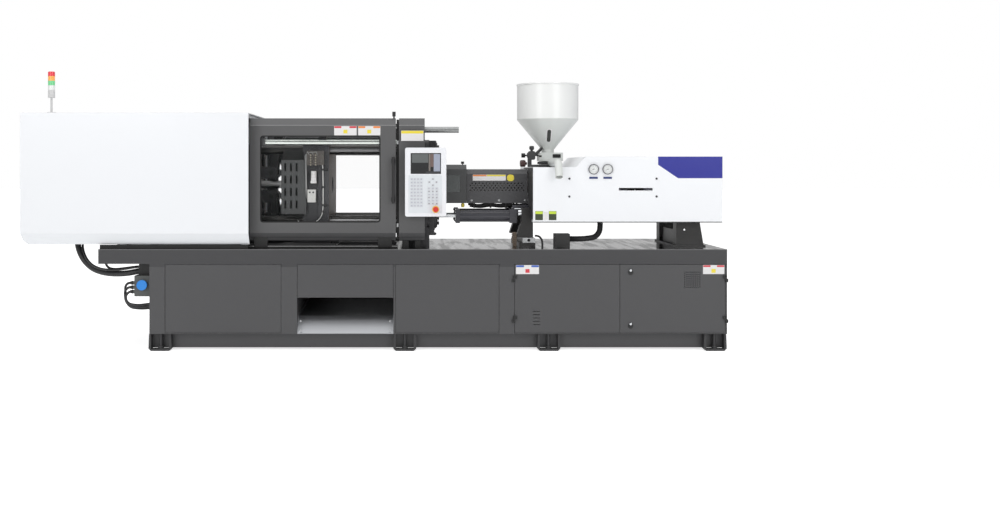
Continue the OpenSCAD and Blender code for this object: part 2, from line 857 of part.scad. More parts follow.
// Bow handle on two lugs
module gate_bar() {
  x = gate_right - 18;
  out = gate_y + handle_out;
  bar_z(handle_d, x, -out, [handle_low, handle_low + handle_l]);
  for (z = [handle_low + 30, handle_low + handle_l - 30])
    difference() {
      span([x - 14, x + 14], [-out, -gate_y], [z - 16, z + 16]);
      bar_z(handle_d, x, -out, [z - 16 - cut, z + 16 + cut]);
    }
}

module front_gate_handle()
  color([0.08, 0.08, 0.08]) {
    x = gate_right - 14;
    gate_bar();
    bar_z(12, x, -gate_back - 5 - 6, [gate_top, gate_top + 14]);
    bar_z(25, x, -gate_back - 5 - 6, [gate_top + 14, gate_top + 48]);
  }

// Upper rods, lower rails, and the posts that hold them
module gate_rails()
  color([0.75, 0.8, 0.77])
    front_and_rear() {
      rod_left = gate_left - gate_stroke - 60;
      post = [rod_left - 24, rod_left + 30];
      bar_x(gate_rod_d, [rod_left, side_left + 40], -gate_rod_y, gate_rod_h);
      difference() {
        span(post, [-gate_rod_y - 34, -gate_rod_y + 34], [deck_h, gate_rod_h + 40]);
        bar_x(gate_rod_d, [rod_left, post[1] + cut], -gate_rod_y, gate_rod_h);
      }
      span([gate_left - gate_stroke - 20, side_left - 10], [-gate_back - 12, -gate_back],
        [deck_h, rail_top]);
    }

// Shell round the stationary platen's side, with the same slanted bands as the gates
module side_covers()
  color([0.36, 0.36, 0.37]) {
    panel_bracket();
    front_and_rear()
      difference() {
        union() {
          along_x([side_left, side_right])
            gate_section();
          span([side_left, side_left + 8], [-gate_back, -platen_w / 2 - free_gap],
            [gate_bottom, gate_top]);
          span([side_right - 8, side_right], [-gate_back, -platen_w / 2 - free_gap],
            [gate_bottom, gate_top]);
          span([side_left, side_right], [-gate_back, -platen_w / 2 - free_gap],
            [gate_top - 8, gate_top]);
          span([side_left + 30, side_left + 70], [-gate_back, -gate_back + 40],
            [deck_h, gate_bottom + 20]);
          span([side_right - 70, side_right - 30], [-gate_back, -gate_back + 40],
            [deck_h, gate_bottom + 20]);
        }
        span([side_left + 8, side_right - 8], [-gate_y + 8, -gate_back + cut],
          [gate_bottom + 70, gate_top - 70]);
        bar_x(gate_rod_d, [side_left - cut, side_left + 40], -gate_rod_y, gate_rod_h);
        bar_x(bar_d + 12, [side_left - cut, side_right + cut], -bar_y, bar_h);
      }
  }

// Clamp unit

// Tapped holes that hold a mould half, in rows round the locating bore
module mould_holes(x)
  for (y = [-fixing_pitch / 2, -fixing_pitch / 6, fixing_pitch / 6, fixing_pitch / 2])
    for (z = [-fixing_pitch / 2, fixing_pitch / 2])
      bar_x(fixing_d, x, y, axis_h + z);

module mould_side_holes(x)
  for (y = [-fixing_pitch / 2, fixing_pitch / 2])
    for (z = [-fixing_pitch / 6, fixing_pitch / 6])
      bar_x(fixing_d, x, y, axis_h + z);

module stationary_platen()
  color([0.1, 0.1, 0.11]) {
    bar_eye([fixed_face + 20, fixed_face + 90], run_gap);
    purge_hinge();
    difference() {
      union() {
        span([fixed_face, fixed_face + 90], [-platen_w / 2, platen_w / 2],
          [platen_low, platen_low + platen_h]);
        // Cast ribs between the mould plate and the tie bar bosses
        for (y = [-platen_w / 2, -115, 75, platen_w / 2 - 40])
          span([fixed_face + 90, fixed_back - 20], [y, y + 40], [platen_low + 20, platen_low + platen_h - 20]);
        for (z = [platen_low + 20, axis_h - 130, axis_h + 90, platen_low + platen_h - 60])
          span([fixed_face + 90, fixed_back - 20], [-platen_w / 2 + 20, platen_w / 2 - 20], [z, z + 40]);
        at_tie_bars()
          bar_x(tie_nut_d + 22, [fixed_face + 60, fixed_back], 0, 0);
        bar_x(260, [fixed_face + 90, fixed_back - 10], 0, axis_h);
        // Flanges at the back that the injection unit's rods pull on
        for (z = [axis_h + 150, sled_h - 13])
          span([fixed_back - 20, fixed_back + 36], [-sled_y - 26, sled_y + 26], [z, z + 26]);
        for (y = [-platen_w / 2 + 15, platen_w / 2 - 135])
          span([fixed_face, fixed_back], [y, y + 120], [deck_h, platen_low + 20]);
      }
      at_tie_bars()
        bar_x(tie_d + 2 * run_gap, [fixed_face - cut, fixed_back + cut], 0, 0);
      bar_x(locating_d, [fixed_face - cut, fixed_face + 30], 0, axis_h);
      bar_x(locating_d - 25, [fixed_face + 30 - cut, fixed_face + 60], 0, axis_h);
      translate([fixed_face + 59, 0, axis_h])
        rotate([0, 90, 0])
          cylinder(d1 = locating_d - 25, d2 = 200, h = fixed_t);
      mould_holes([fixed_face - cut, fixed_face + fixing_depth]);
      mould_side_holes([fixed_face - cut, fixed_face + fixing_depth]);
    }
  }

// Chromed columns, threaded at both ends
module tie_bars()
  color([0.8, 0.82, 0.84])
    at_tie_bars() {
      bar_x(tie_d, [tie_left, tie_right], 0, 0);
    }

module tie_bar_nuts()
  color([0.2, 0.2, 0.21])
    at_tie_bars()
      difference() {
        union() {
          bar_x(tie_nut_d, [fixed_back, fixed_back + tie_nut_t - 14], 0, 0);
          translate([fixed_back + tie_nut_t - 14, 0, 0])
            rotate([0, 90, 0])
              cylinder(d1 = tie_nut_d, d2 = tie_nut_d - 28, h = 14);
        }
        bar_x(tie_d, [fixed_back - cut, fixed_back + tie_nut_t + cut], 0, 0);
      }

module platen_shoe(x0, x1)
  for (y = [-way_y, way_y])
    span([x0, x1], [y - way_w / 2 + 5, y + way_w / 2 - 5], [way_top, platen_low + cut]);

module moving_platen()
  color([0.3, 0.29, 0.28]) {
    bar_eye([moving_face - 80, moving_face - 20], 0);
    difference() {
      union() {
        span([moving_face - 80, moving_face], [-platen_w / 2, platen_w / 2],
          [platen_low, platen_low + platen_h]);
        for (y = [-platen_w / 2 + 20, -115, 75, platen_w / 2 - 60])
          span([moving_back + 10, moving_face - 80], [y, y + 40],
            [platen_low + 20, platen_low + platen_h - 20]);
        for (z = [platen_low + 20, axis_h - 130, axis_h + 90, platen_low + platen_h - 60])
          span([moving_back + 10, moving_face - 80], [-platen_w / 2 + 20, platen_w / 2 - 20],
            [z, z + 40]);
        at_tie_bars()
          bar_x(tie_d + 62, [moving_back, moving_face - 40], 0, 0);
        // Back wall that carries the toggle lugs
        span([moving_back, moving_back + 30], [-140, 140],
          [axis_h - toggle_z - eye_r - 4, axis_h + toggle_z + eye_r + 4]);
        above_and_below()
          for (s = [-1, 1])
            wall_xz(s > 0 ? lug_plate : [-lug_plate[1], -lug_plate[0]])
              translate([0, axis_h + toggle_z]) {
                translate([front_pin_x, 0])
                  circle(r = eye_r);
                translate([front_pin_x, -eye_r])
                  square([lug_reach, 2 * eye_r]);
              }
        above_and_below()
          for (s = [-1, 1])
            bar_y(2 * pin_r, front_pin_x, s > 0 ? [front_plate[0], lug_plate[0] + 1]
              : [-lug_plate[0] - 1, -front_plate[0]], axis_h + toggle_z);
        platen_shoe(moving_back - 60, moving_face);
        for (y = [-way_y, way_y])
          span([moving_back - 60, moving_back + cut], [y - way_w / 2 + 5, y + way_w / 2 - 5],
            [way_top, platen_low + 30]);
      }
      at_tie_bars()
        bar_x(tie_d + 2 * run_gap, [moving_back - cut, moving_face + cut], 0, 0);
      bar_x(locating_d, [moving_face - 20, moving_face + cut], 0, axis_h);
      bar_x(ejector_d + 2 * run_gap, [moving_back - cut, moving_face + cut], 0, axis_h);
      mould_holes([moving_face - fixing_depth, moving_face + cut]);
      mould_side_holes([moving_face - fixing_depth, moving_face + cut]);
      for (y = [-190, 190])
        bar_x(ejector_d + 2 * run_gap, [moving_back - cut, moving_back + 60], y, axis_h);
    }
  }

// Eye that carries the safety bar at the top front corner of a platen
module bar_eye(x, clearance)
  difference() {
    union() {
      span(x, [-bar_y - bar_d / 2 - 12, -bar_y + bar_d / 2 + 12],
        [bar_h - bar_d / 2 - 24, bar_h + bar_d / 2 + 12]);
      span(x, [-platen_w / 2, -platen_w / 2 + 36],
        [platen_low + platen_h - cut, bar_h]);
    }
    bar_x(bar_d + 2 * clearance, [x[0] - cut, x[1] + cut], -bar_y, bar_h);
  }

// Plate with rows of upright slots that covers the moving platen's side
module platen_guard()
  color([0.16, 0.16, 0.17]) {
    left = moving_back - 155;
    slot = [15, 60];
    difference() {
      span([left, moving_back + 30], [-platen_w / 2 - 6, -platen_w / 2 - 2], [981, 1382]);
      for (i = [0 : 2], j = [0 : 3])
        span([left + 22 + i * 42, left + 22 + i * 42 + slot[0]],
          [-platen_w / 2 - 6 - cut, -platen_w / 2 - 2 + cut],
          [1022 + j * 92, 1022 + j * 92 + slot[1]]);
    }
    for (z = [1001, 1342])
      span([moving_back + 12, moving_back + 30], [-platen_w / 2 - 2, -platen_w / 2 + 20],
        [z, z + 20]);
    span([left, left + 4], [-platen_w / 2 - 2, -platen_w / 2 + 28], [981, 1382]);
  }

// Valve block with its screwed fittings, and the terminal plate below it
module service_manifold() {
  y = -platen_w / 2;
  color([0.62, 0.58, 0.5]) {
    span([-505, -380], [y - 46, y], [1344, 1448]);
    for (i = [0 : 3], z = [1370, 1420]) {
      bar_y(18, -487 + i * 30, [y - 58, y - 46], z);
      bar_y(11, -487 + i * 30, [y - 72, y - 58], z);
    }
  }
  color([0.8, 0.8, 0.8]) {
    span([-502, -442], [y - 30, y + 20], [1068, 1162]);
    for (z = [1090, 1140])
      bar_y(14, -472, [y - 38, y - 30], z);
    span([-475, -438], [y - 34, y + 20], [1208, 1300]);
  }
}

module safety_bar()
  color([0.72, 0.73, 0.74])
    bar_x(bar_d, [moving_back - 20, bar_right], -bar_y, bar_h);

// Crossbar behind the moving platen with its two rods and the middle knock-out rod
module ejector()
  color([0.6, 0.61, 0.62]) {
    back = moving_back - ejector_stroke - 26;
    span([back, back + 24], [-225, 225], [axis_h - 34, axis_h + 34]);
    for (y = [-190, 190])
      bar_x(ejector_d, [back + 24, moving_back + 50 - ejector_stroke], y, axis_h);
    bar_x(ejector_d, [back + 24, moving_face - 22 - ejector_stroke], 0, axis_h);
  }

// Casting that takes the clamp force and holds the rear toggle pins
module rear_platen()
  color([0.24, 0.24, 0.25])
    difference() {
      union() {
        span([rear_back, rear_back + 70], [-platen_w / 2, platen_w / 2],
          [platen_low, platen_low + platen_h]);
        for (y = [-platen_w / 2 + 20, -115, 75, platen_w / 2 - 60])
          span([rear_back + 70, rear_face - 10], [y, y + 40],
            [platen_low + 20, platen_low + platen_h - 20]);
        for (z = [platen_low + 20, platen_low + platen_h - 60])
          span([rear_back + 70, rear_face - 10], [-platen_w / 2 + 20, platen_w / 2 - 20],
            [z, z + 40]);
        at_tie_bars()
          bar_x(tie_d + 62, [rear_back, rear_face], 0, 0);
        span([rear_face - 30, rear_face], [-160, 160],
          [axis_h - toggle_z - eye_r - 4, axis_h + toggle_z + eye_r + 4]);
        above_and_below()
          for (s = [-1, 1])
            wall_xz(s > 0 ? rear_lug_plate : [-rear_lug_plate[1], -rear_lug_plate[0]])
              translate([0, axis_h + toggle_z]) {
                translate([rear_pin_x, 0])
                  circle(r = eye_r);
                translate([rear_face - 1, -eye_r])
                  square([rear_lug_reach + 1, 2 * eye_r]);
              }
        platen_shoe(rear_back, rear_face);
      }
      at_tie_bars()
        bar_x(tie_d + 2 * run_gap, [rear_back - cut, rear_face + cut], 0, 0);
      bar_x(clamp_rod_d + 12, [rear_back - cut, rear_face + cut], 0, axis_h);
      for (y = [-guide_rod_y, guide_rod_y])
        bar_x(guide_rod_d + 2 * run_gap, [rear_back - cut, rear_face + cut], y, axis_h);
      above_and_below()
        bar_y(2 * pin_r + 2 * run_gap, rear_pin_x,
          [-rear_lug_plate[1] - cut, rear_lug_plate[1] + cut], axis_h + toggle_z);
    }

// Hydraulic cylinder with square heads and four tie rods
module clamp_cylinder()
  color([0.26, 0.28, 0.32])
    difference() {
      left = rear_back - clamp_cyl_l;
      union() {
        for (x = [left, rear_back - 40])
          span([x, x + 40], [-clamp_cyl_d / 2 - 12, clamp_cyl_d / 2 + 12],
            [axis_h - clamp_cyl_d / 2 - 12, axis_h + clamp_cyl_d / 2 + 12]);
        bar_x(clamp_cyl_d, [left + 40, rear_back - 40], 0, axis_h);
        for (y = [-clamp_cyl_d / 2 + 6, clamp_cyl_d / 2 - 6],
          z = [-clamp_cyl_d / 2 + 6, clamp_cyl_d / 2 - 6])
          bar_x(18, [left - 14, rear_back], y * 0.94, axis_h + z * 0.94);
      }
      bar_x(clamp_cyl_d - 40, [left + 40, rear_back - 40], 0, axis_h);
      bar_x(clamp_rod_d + 12, [rear_back - 40 - cut, rear_back + cut], 0, axis_h);
      for (y = [-guide_rod_y, guide_rod_y])
        bar_x(guide_rod_d + 8, [left - 20, rear_back + cut], y, axis_h);
    }

// Threaded nuts with chain teeth, which set the mould height
module mould_height_nuts()
  color([0.45, 0.45, 0.46])
    at_tie_bars()
      difference() {
        union() {
          bar_x(tie_nut_d - 16, [rear_back - tie_nut_t, rear_back], 0, 0);
          translate([rear_back - 34, 0, 0])
            rotate([0, 90, 0])
              linear_extrude(height = 16)
                union() {
                  circle(d = tie_nut_d + 4);
                  for (a = [0 : 15 : 345])
                    rotate(a)
                      translate([tie_nut_d / 2, -4])
                        square([10, 8]);
                }
        }
        bar_x(tie_d + 2 * run_gap, [rear_back - tie_nut_t - cut, rear_back + cut], 0, 0);
      }

// Toggle

// Outline of a straight link between two eyes, in X and Z
module link_outline(from, to, r_from, r_to, waist) {
  dx = to[0] - from[0];
  dz = to[1] - from[1];
  translate(from) {
    circle(r = r_from);
    rotate(atan2(dz, dx))
      translate([0, -waist / 2])
        square([norm([dx, dz]), waist]);
  }
  translate(to)
    circle(r = r_to);
}

// The rear link is a fork: two plates with the knee pin and the drive pin through them
module rear_link() {
  pin = [rear_pin_x, toggle_z];
  translate([0, 0, axis_h]) {
    for (s = [-1, 1])
      wall_xz(s > 0 ? lug_plate : [-lug_plate[1], -lug_plate[0]])
        link_outline(pin, knee, eye_r - 6, eye_r - 6, 60);
    bar_y(2 * pin_r, pin[0], [-rear_lug_plate[1], rear_lug_plate[1]], pin[1]);
    bar_y(2 * pin_r, knee[0], [-lug_plate[1] - 6, lug_plate[1] + 6], knee[1]);
    bar_y(2 * drive_pin_r, drive_pin[0], [-lug_plate[0] - 1, lug_plate[0] + 1], drive_pin[1]);
  }
}

module front_link() {
  pin = [front_pin_x - pivot_lead, toggle_z];
  translate([0, 0, axis_h])
    difference() {
      for (s = [-1, 1])
        wall_xz(s > 0 ? front_plate : [-front_plate[1], -front_plate[0]])
          link_outline(pin, knee, pin_r + open_play + 12, eye_r - 6, 34);
      bar_y(2 * (pin_r + open_play), pin[0], [-front_plate[1] - cut, front_plate[1] + cut],
        pin[1]);
      bar_y(2 * (pin_r + run_gap), knee[0], [-front_plate[1] - cut, front_plate[1] + cut],
        knee[1]);
    }
}

module drive_link() {
  pin = [crosshead_x, crosshead_z];
  translate([0, 0, axis_h])
    difference() {
      for (s = [-1, 1])
        wall_xz(s > 0 ? [tongue_half + 1, drive_half] : [-drive_half, -tongue_half - 1])
          link_outline(pin, drive_pin, drive_pin_r + 12, drive_pin_r + drive_play + 10, 40);
      bar_y(2 * (drive_pin_r + drive_play), drive_pin[0], [-drive_half - cut, drive_half + cut],
        drive_pin[1]);
      bar_y(2 * (drive_pin_r + run_gap), pin[0], [-drive_half - cut, drive_half + cut], pin[1]);
    }
}

module below() {
  translate([0, 0, 2 * axis_h])
    mirror([0, 0, 1])
      children();
}

module rear_link_upper()
  color([0.42, 0.42, 0.43])
    rear_link();

module rear_link_lower()
  color([0.42, 0.42, 0.43])
    below()
      rear_link();

module front_link_upper()
  color([0.46, 0.46, 0.47])
    front_link();

module front_link_lower()
  color([0.46, 0.46, 0.47])
    below()
      front_link();

module drive_link_upper()
  color([0.5, 0.5, 0.5])
    drive_link();

module drive_link_lower()
  color([0.5, 0.5, 0.5])
    below()
      drive_link();

// Block on the piston rod that pushes both drive links, guided by two rods
module crosshead()
  color([0.38, 0.38, 0.4]) {
    x = crosshead_x;
    span([x - 46, x + 36], [-guide_rod_y - 28, guide_rod_y + 28], [axis_h - 26, axis_h + 26]);
    wall_xz([-tongue_half, tongue_half])
      translate([x, axis_h - crosshead_z]) {
        circle(r = drive_pin_r + 12);
        translate([-drive_pin_r - 12, 0])
          square([2 * drive_pin_r + 24, 2 * crosshead_z]);
        translate([0, 2 * crosshead_z])
          circle(r = drive_pin_r + 12);
      }
    for (z = [-crosshead_z, crosshead_z])
      bar_y(2 * drive_pin_r, x, [-drive_half, drive_half], axis_h + z);
    piston = rear_back - 60 - crosshead_stroke;
    bar_x(clamp_rod_d, [piston, x - 45], 0, axis_h);
    bar_x(clamp_cyl_d - 40.8, [piston - 40, piston], 0, axis_h);
    for (y = [-guide_rod_y, guide_rod_y])
      bar_x(guide_rod_d, [rear_back - crosshead_stroke - 60, x - 45], y, axis_h);
  }

// Electrical doors

// One door, drawn with its hinge at the left edge, of a given width
module door_leaf(x0, x1, hinge_x, locks) {
  z = [plinth_top + 5 + panel_gap, beam_low - 2 - panel_gap];
  inside = bed_front + door_t;
  skin = 3;
  difference() {
    span([x0, x1], [bed_front, inside], z);
    span([x0 + skin, x1 - skin], [bed_front + skin, inside + cut], [z[0] + skin, z[1] - skin]);
    for (h = locks)
      bar_y(lock_d - 8, h[0], [bed_front - cut, inside + cut], h[1]);
  }
  for (h = locks)
    difference() {
      bar_y(lock_d + 6, h[0], [bed_front + skin, bed_front + skin + 6], h[1]);
      bar_y(lock_d - 8, h[0], [bed_front - cut, inside + cut], h[1]);
    }
  for (h = [231, 524])
    difference() {
      union() {
        bar_z(14, hinge_x, door_hinge_y, [h + 0.5, h + 25]);
        span([hinge_x < x0 ? hinge_x : x1 - 16, hinge_x < x0 ? x0 + 16 : hinge_x],
          [door_hinge_y - 2, bed_front], [h + 0.5, h + 25]);
      }
      bar_z(6.1, hinge_x, door_hinge_y, [h - cut, h + 25 + cut]);
    }
}

left_door = [cabinet[0] + panel_gap, (cabinet[0] + cabinet[1]) / 2 - 1.5];
right_door = [(cabinet[0] + cabinet[1]) / 2 + 1.5, cabinet[1] - panel_gap];
lock_x = right_door[0] + lock_in;
lock_heights = [183, 569];

module left_electrical_door()
  color([0.35, 0.35, 0.36])
    difference() {
      door_leaf(left_door[0], left_door[1], cabinet[0] - 2, []);
      for (i = [0 : 4])
        span([cabinet[0] + 135, cabinet[0] + 185], [bed_front - cut, bed_front + 3 + cut],
          [190 + i * 24, 194 + i * 24]);
    }

module right_electrical_door()
  color([0.35, 0.35, 0.36])
    difference() {
      door_leaf(right_door[0], right_door[1], cabinet[1] + 2,
        [for (z = lock_heights) [lock_x, z]]);
      for (i = [0 : 7], j = [0 : 7])
        span([2235 + i * 15.5, 2242 + i * 15.5], [bed_front - cut, bed_front + 3 + cut],
          [458 + j * 15.5, 465 + j * 15.5]);
    }

// Quarter-turn lock: a round head, a spindle and a tongue behind the door's edge
module door_lock(z)
  color([0.8, 0.8, 0.82]) {
    difference() {
      bar_y(lock_d, lock_x, [bed_front - 8, bed_front - 0.3], z);
      span([lock_x - 9, lock_x + 9], [bed_front - 9, bed_front - 5], [z - 2, z + 2]);
    }
    bar_y(lock_d - 8.7, lock_x, [bed_front - 1, bed_front + 12], z);
    span([lock_x - 9, lock_x + 9], [bed_front + 11, bed_front + 15], [z - 9, z + 34]);
  }

module door_lock_upper()
  door_lock(lock_heights[1]);

module door_lock_lower()
  door_lock(lock_heights[0]);

// Control panel

module control_panel()
  color([0.9, 0.9, 0.92]) {
    back = -panel_back;
    screen = [panel_left + 40, panel_low + 308, 220, 151];
    keys = [panel_left + 25, panel_low + 26, 242, 272];
    difference() {
      wall_xz([-panel_y, back])
        translate([panel_left, panel_low])
          round_rect(panel_w, panel_h, 14);
      span([screen[0], screen[0] + screen[2]], [-panel_y - cut, -panel_y + 5],
        [screen[1], screen[1] + screen[3]]);
      span([keys[0], keys[0] + keys[2]], [-panel_y - cut, -panel_y + 1.5],
        [keys[1], keys[1] + keys[3]]);
      bar_y(22, stop_x, [-panel_y - cut, -panel_y + 30], stop_z);
    }
    for (z = [panel_low + 90, panel_low + panel_h - 130])
      difference() {
        span([hinge_x - 8, hinge_x + 8], [back - 1, hinge_y + 7], [z + 0.5, z + 30]);
        bar_z(8.5, hinge_x, hinge_y, [z - cut, z + 30 + cut]);
      }
  }

// Key blocks in rows, with an arrow cluster at the top right
module panel_keys()
  color([0.8, 0.8, 0.83]) {
    base = [panel_left + 25, panel_low + 26];
    face = -panel_y + 1.5;
    for (i = [0 : 3], j = [0 : 8])
      span([base[0] + 14 + i * 23, base[0] + 32 + i * 23], [face - 3, face],
        [base[1] + 44 + j * 24, base[1] + 60 + j * 24]);
    for (i = [0 : 2], j = [0 : 5])
      span([base[0] + 138 + i * 28, base[0] + 158 + i * 28], [face - 3, face],
        [base[1] + 60 + j * 22, base[1] + 75 + j * 22]);
    for (p = [[176, 236], [150, 214], [202, 214], [176, 192]])
      span([base[0] + p[0] - 9, base[0] + p[0] + 9], [face - 3, face],
        [base[1] + p[1] + 2, base[1] + p[1] + 16]);
  }

module stop_button()
  color([0.8, 0.1, 0.1]) {
    bar_y(21, stop_x, [-panel_y - 12, -panel_y + 20], stop_z);
    bar_y(stop_d, stop_x, [-cover_depth / 2, -panel_y - 10], stop_z);
  }

// Two hinge pins on a plate, fixed to the front side cover
module panel_bracket() {
  for (z = [panel_low + 90, panel_low + panel_h - 130]) {
    span([hinge_x - 9, hinge_x + 9], [hinge_y - 5, -gate_y], [z - 30, z]);
    bar_z(8, hinge_x, hinge_y, [z - 1, z + 30]);
  }
}

// Signal lamp on its post
module lamp_post()
  color([0.8, 0.8, 0.8]) {
    bar_z(64, lamp_x, -lamp_y, [cover_top, cover_top + 14]);
    bar_z(16, lamp_x, -lamp_y, [cover_top + 14, lamp_top - 4 * lens_h - 20]);
    bar_z(lamp_d, lamp_x, -lamp_y, [lamp_top - 4 * lens_h - 22, lamp_top - 3 * lens_h - 8]);
  }

module lamp_lenses() {
  low = lamp_top - 3 * lens_h - 8;
  for (i = [0 : 2])
    color([[0.1, 0.7, 0.3], [0.95, 0.6, 0.1], [0.85, 0.1, 0.1]][i])
      bar_z(lamp_d, lamp_x, -lamp_y, [low + i * (lens_h + 2), low + i * (lens_h + 2) + lens_h]);
  for (i = [0 : 2])
    color([0.15, 0.15, 0.15])
      bar_z(lamp_d - 6, lamp_x, -lamp_y, [low + i * (lens_h + 2) + lens_h - 1,
        low + (i + 1) * (lens_h + 2) + 1]);
}

// Purge guard

// Folded box over the nozzle, open below and to the right, hinged at the back
module purge_guard()
  color([0.6, 0.61, 0.63]) {
    wall = 3;
    x = [purge_left, purge_right];
    fold = 35;
    difference() {
      along_x(x)
        polygon([
          [-purge_y, purge_low], [-purge_y, purge_top - fold], [-purge_y + fold, purge_top],
          [purge_y - fold, purge_top], [purge_y, purge_top - fold], [purge_y, purge_low]
        ]);
      along_x([x[0] + wall, x[1] + cut])
        polygon([
          [-purge_y + wall, purge_low - cut], [-purge_y + wall, purge_top - fold - 1],
          [-purge_y + fold + 1, purge_top - wall], [purge_y - fold - 1, purge_top - wall],
          [purge_y - wall, purge_top - fold - 1], [purge_y - wall, purge_low - cut]
        ]);
      span([x[0] - cut, x[0] + wall + cut], [-90, 90], [purge_low - cut, axis_h + 90]);
      span([538, 637], [-purge_y - cut, -purge_y + wall + cut], [1140, 1267]);
    }
    span([530, 645], [-purge_y + wall, -purge_y + wall + 3], [1132, 1275]);
    bar_z(8, purge_right - 28, -purge_y + fold + 20, [purge_top - 1, purge_top + 8]);
    bar_z(24, purge_right - 28, -purge_y + fold + 20, [purge_top + 6, purge_top + 24]);
    difference() {
      union() {
        bar_x(16, [x[0] + 40, x[1] - 40], purge_y + 9, purge_low + 8);
        span([x[0] + 40, x[1] - 40], [purge_y - 1, purge_y + 9], [purge_low, purge_low + 16]);
      }
      bar_x(8.1, [x[0] + 40 - cut, x[1] - 40 + cut], purge_y + 9, purge_low + 8);
    }
  }

// Arm from the stationary platen that carries the purge guard's hinge rod
module purge_hinge() {
  y = purge_y + 9;
  z = purge_low + 8;
  bar_x(8, [fixed_back + 20, purge_right - 36], y, z);
  span([fixed_face + 80, purge_left + 38], [y - 7, y + 30], [z - 30, z - 9.5]);
  span([purge_left + 12, purge_left + 38], [y - 5, y + 5], [z - 10, z + 5]);
}

// Injection unit: pieces on the bed

// Cast foot at the front, which holds the guide bars, with its base block on the deck
module front_support()
  color([0.12, 0.12, 0.13])
    difference() {
      x = [front_support_x - front_support_l / 2, front_support_x + front_support_l / 2];
      wide = guide_y + 55;
      union() {
        span([x[0] - 20, x[1] + 16], [-wide, wide], [deck_h, deck_h + 27]);
        span([x[0] + 3, x[1] + 5], [-wide, wide], [deck_h + 27, deck_h + 68]);
        for (y = [-guide_y, guide_y])
          wall_xz([y - 45, y + 45])
            polygon([
              [x[0] - 40, deck_h + 68], [x[1], deck_h + 68], [x[1], guide_h + 38],
              [x[0], guide_h + 38], [x[0], guide_h - 60]
            ]);
        span([x[0] + 20, x[1] - 20], [-guide_y, guide_y], [deck_h + 60, deck_h + 130]);
      }
      for (y = [-guide_y, guide_y])
        bar_x(guide_d, [x[0] - cut, x[1] + cut], y, guide_h);
      bar_y(22, front_support_x, [-wide - cut, -wide + 40], deck_h + 48);
    }

// Folded steel foot at the back end
module rear_support()
  color([0.1, 0.1, 0.11])
    difference() {
      x = rear_support_x;
      union() {
        for (y = [-guide_y, guide_y])
          wall_xz([y - 50, y + 50])
            polygon([
              [x, deck_h + 12], [x + 203, deck_h + 12], [x + 175, inj_low - 5], [x, inj_low - 5]
            ]);
        for (y = [-guide_y, guide_y])
          span([x + 20, x + 110], [y - 40, y + 40], [inj_low - 6, guide_h + 38]);
        span([x - 12, x + 215], [-guide_y - 60, guide_y + 60], [deck_h, deck_h + 12]);
        span([x + 20, x + 40], [-guide_y, guide_y], [deck_h + 12, deck_h + 120]);
      }
      for (y = [-guide_y, guide_y])
        bar_x(guide_d, [x + 20 - cut, x + 110 + cut], y, guide_h);
      for (s = [-1, 1])
        wall_xz(s < 0 ? [-guide_y - 44, -guide_y + 52] : [guide_y - 52, guide_y + 44])
          polygon([
            [x + 8, deck_h + 40], [x + 186, deck_h + 40], [x + 168, inj_low - 30],
            [x + 8, inj_low - 30]
          ]);
      bar_y(14, x + 60, [-guide_y - 60, -guide_y], inj_low - 60);
    }

module carriage_guides()
  color([0.76, 0.77, 0.78])
    for (y = [-guide_y, guide_y])
      bar_x(guide_d, [front_support_x - front_support_l / 2 - 24, rear_support_x + 130], y, guide_h);

// Piston rods of the sled cylinders, screwed into the stationary platen's flange
module sled_rods()
  color([0.8, 0.82, 0.84])
    for (y = [-sled_y, sled_y]) {
      bar_x(sled_rod_d, [fixed_back + 36, sled_left + carriage_back + 98], y, sled_h);
      bar_x(sled_rod_d + 16, [fixed_back + 36, fixed_back + 62], y, sled_h);
      bar_x(sled_d - 16.8, [sled_left + carriage_back + 60, sled_left + carriage_back + 90],
        y, sled_h);
    }

// Injection unit: pieces on the carriage

// Slide with its four guide bores, and the cast feed block on top of it
module carriage()
  color([0.17, 0.17, 0.18])
    difference() {
      front = carriage_front;
      back = carriage_back_x;
      union() {
        for (x = [front, back - 110], y = [-guide_y, guide_y])
          span([x, x + 110], [y - 45, y + 45], [guide_h - 45, guide_h + 45]);
        for (y = [-guide_y, guide_y])
          span([front + 110 - cut, back - 110 + cut], [y - 28, y + 28], [guide_h + 30, guide_h + 45]);
        span([front, front + 240], [-guide_y - 45, guide_y + 45], [guide_h + 34, guide_h + 62]);
        span([back - 140, back], [-guide_y - 45, guide_y + 45], [guide_h + 34, guide_h + 62]);
        span([hopper_x - 82, feed_right], [-130, 130], [guide_h + 60, base_low]);
        for (y = [-230, 150])
          span([feed_right, back], [y, y + 80], [guide_h + 45, guide_h + 100]);
        for (y = [-190, 190])
          bar_x(70, [feed_right, back - 20], y, axis_h);
        span([back - 20, back], [-250, 250], [guide_h + 60, axis_h + 110]);
        for (y = [-inj_y + 8, inj_y - 38])
          span([front + 260, back], [y, y + 30], [guide_h + 62, guide_h + 92]);
        for (x = [front + 260, back - 60])
          span([x, x + 50], [-inj_y + 8, inj_y - 8], [guide_h + 62, guide_h + 92]);
      }
      for (y = [-guide_y, guide_y])
        bar_x(guide_d + 2 * run_gap, [front - cut, back + cut], y, guide_h);
      bar_x(barrel_d, [hopper_x - 82 - cut, feed_right + cut], 0, axis_h);
      bar_z(60, hopper_x, 0, [axis_h, base_low + cut]);
      bar_x(190, [back - 20 - cut, back + cut], 0, axis_h);
    }

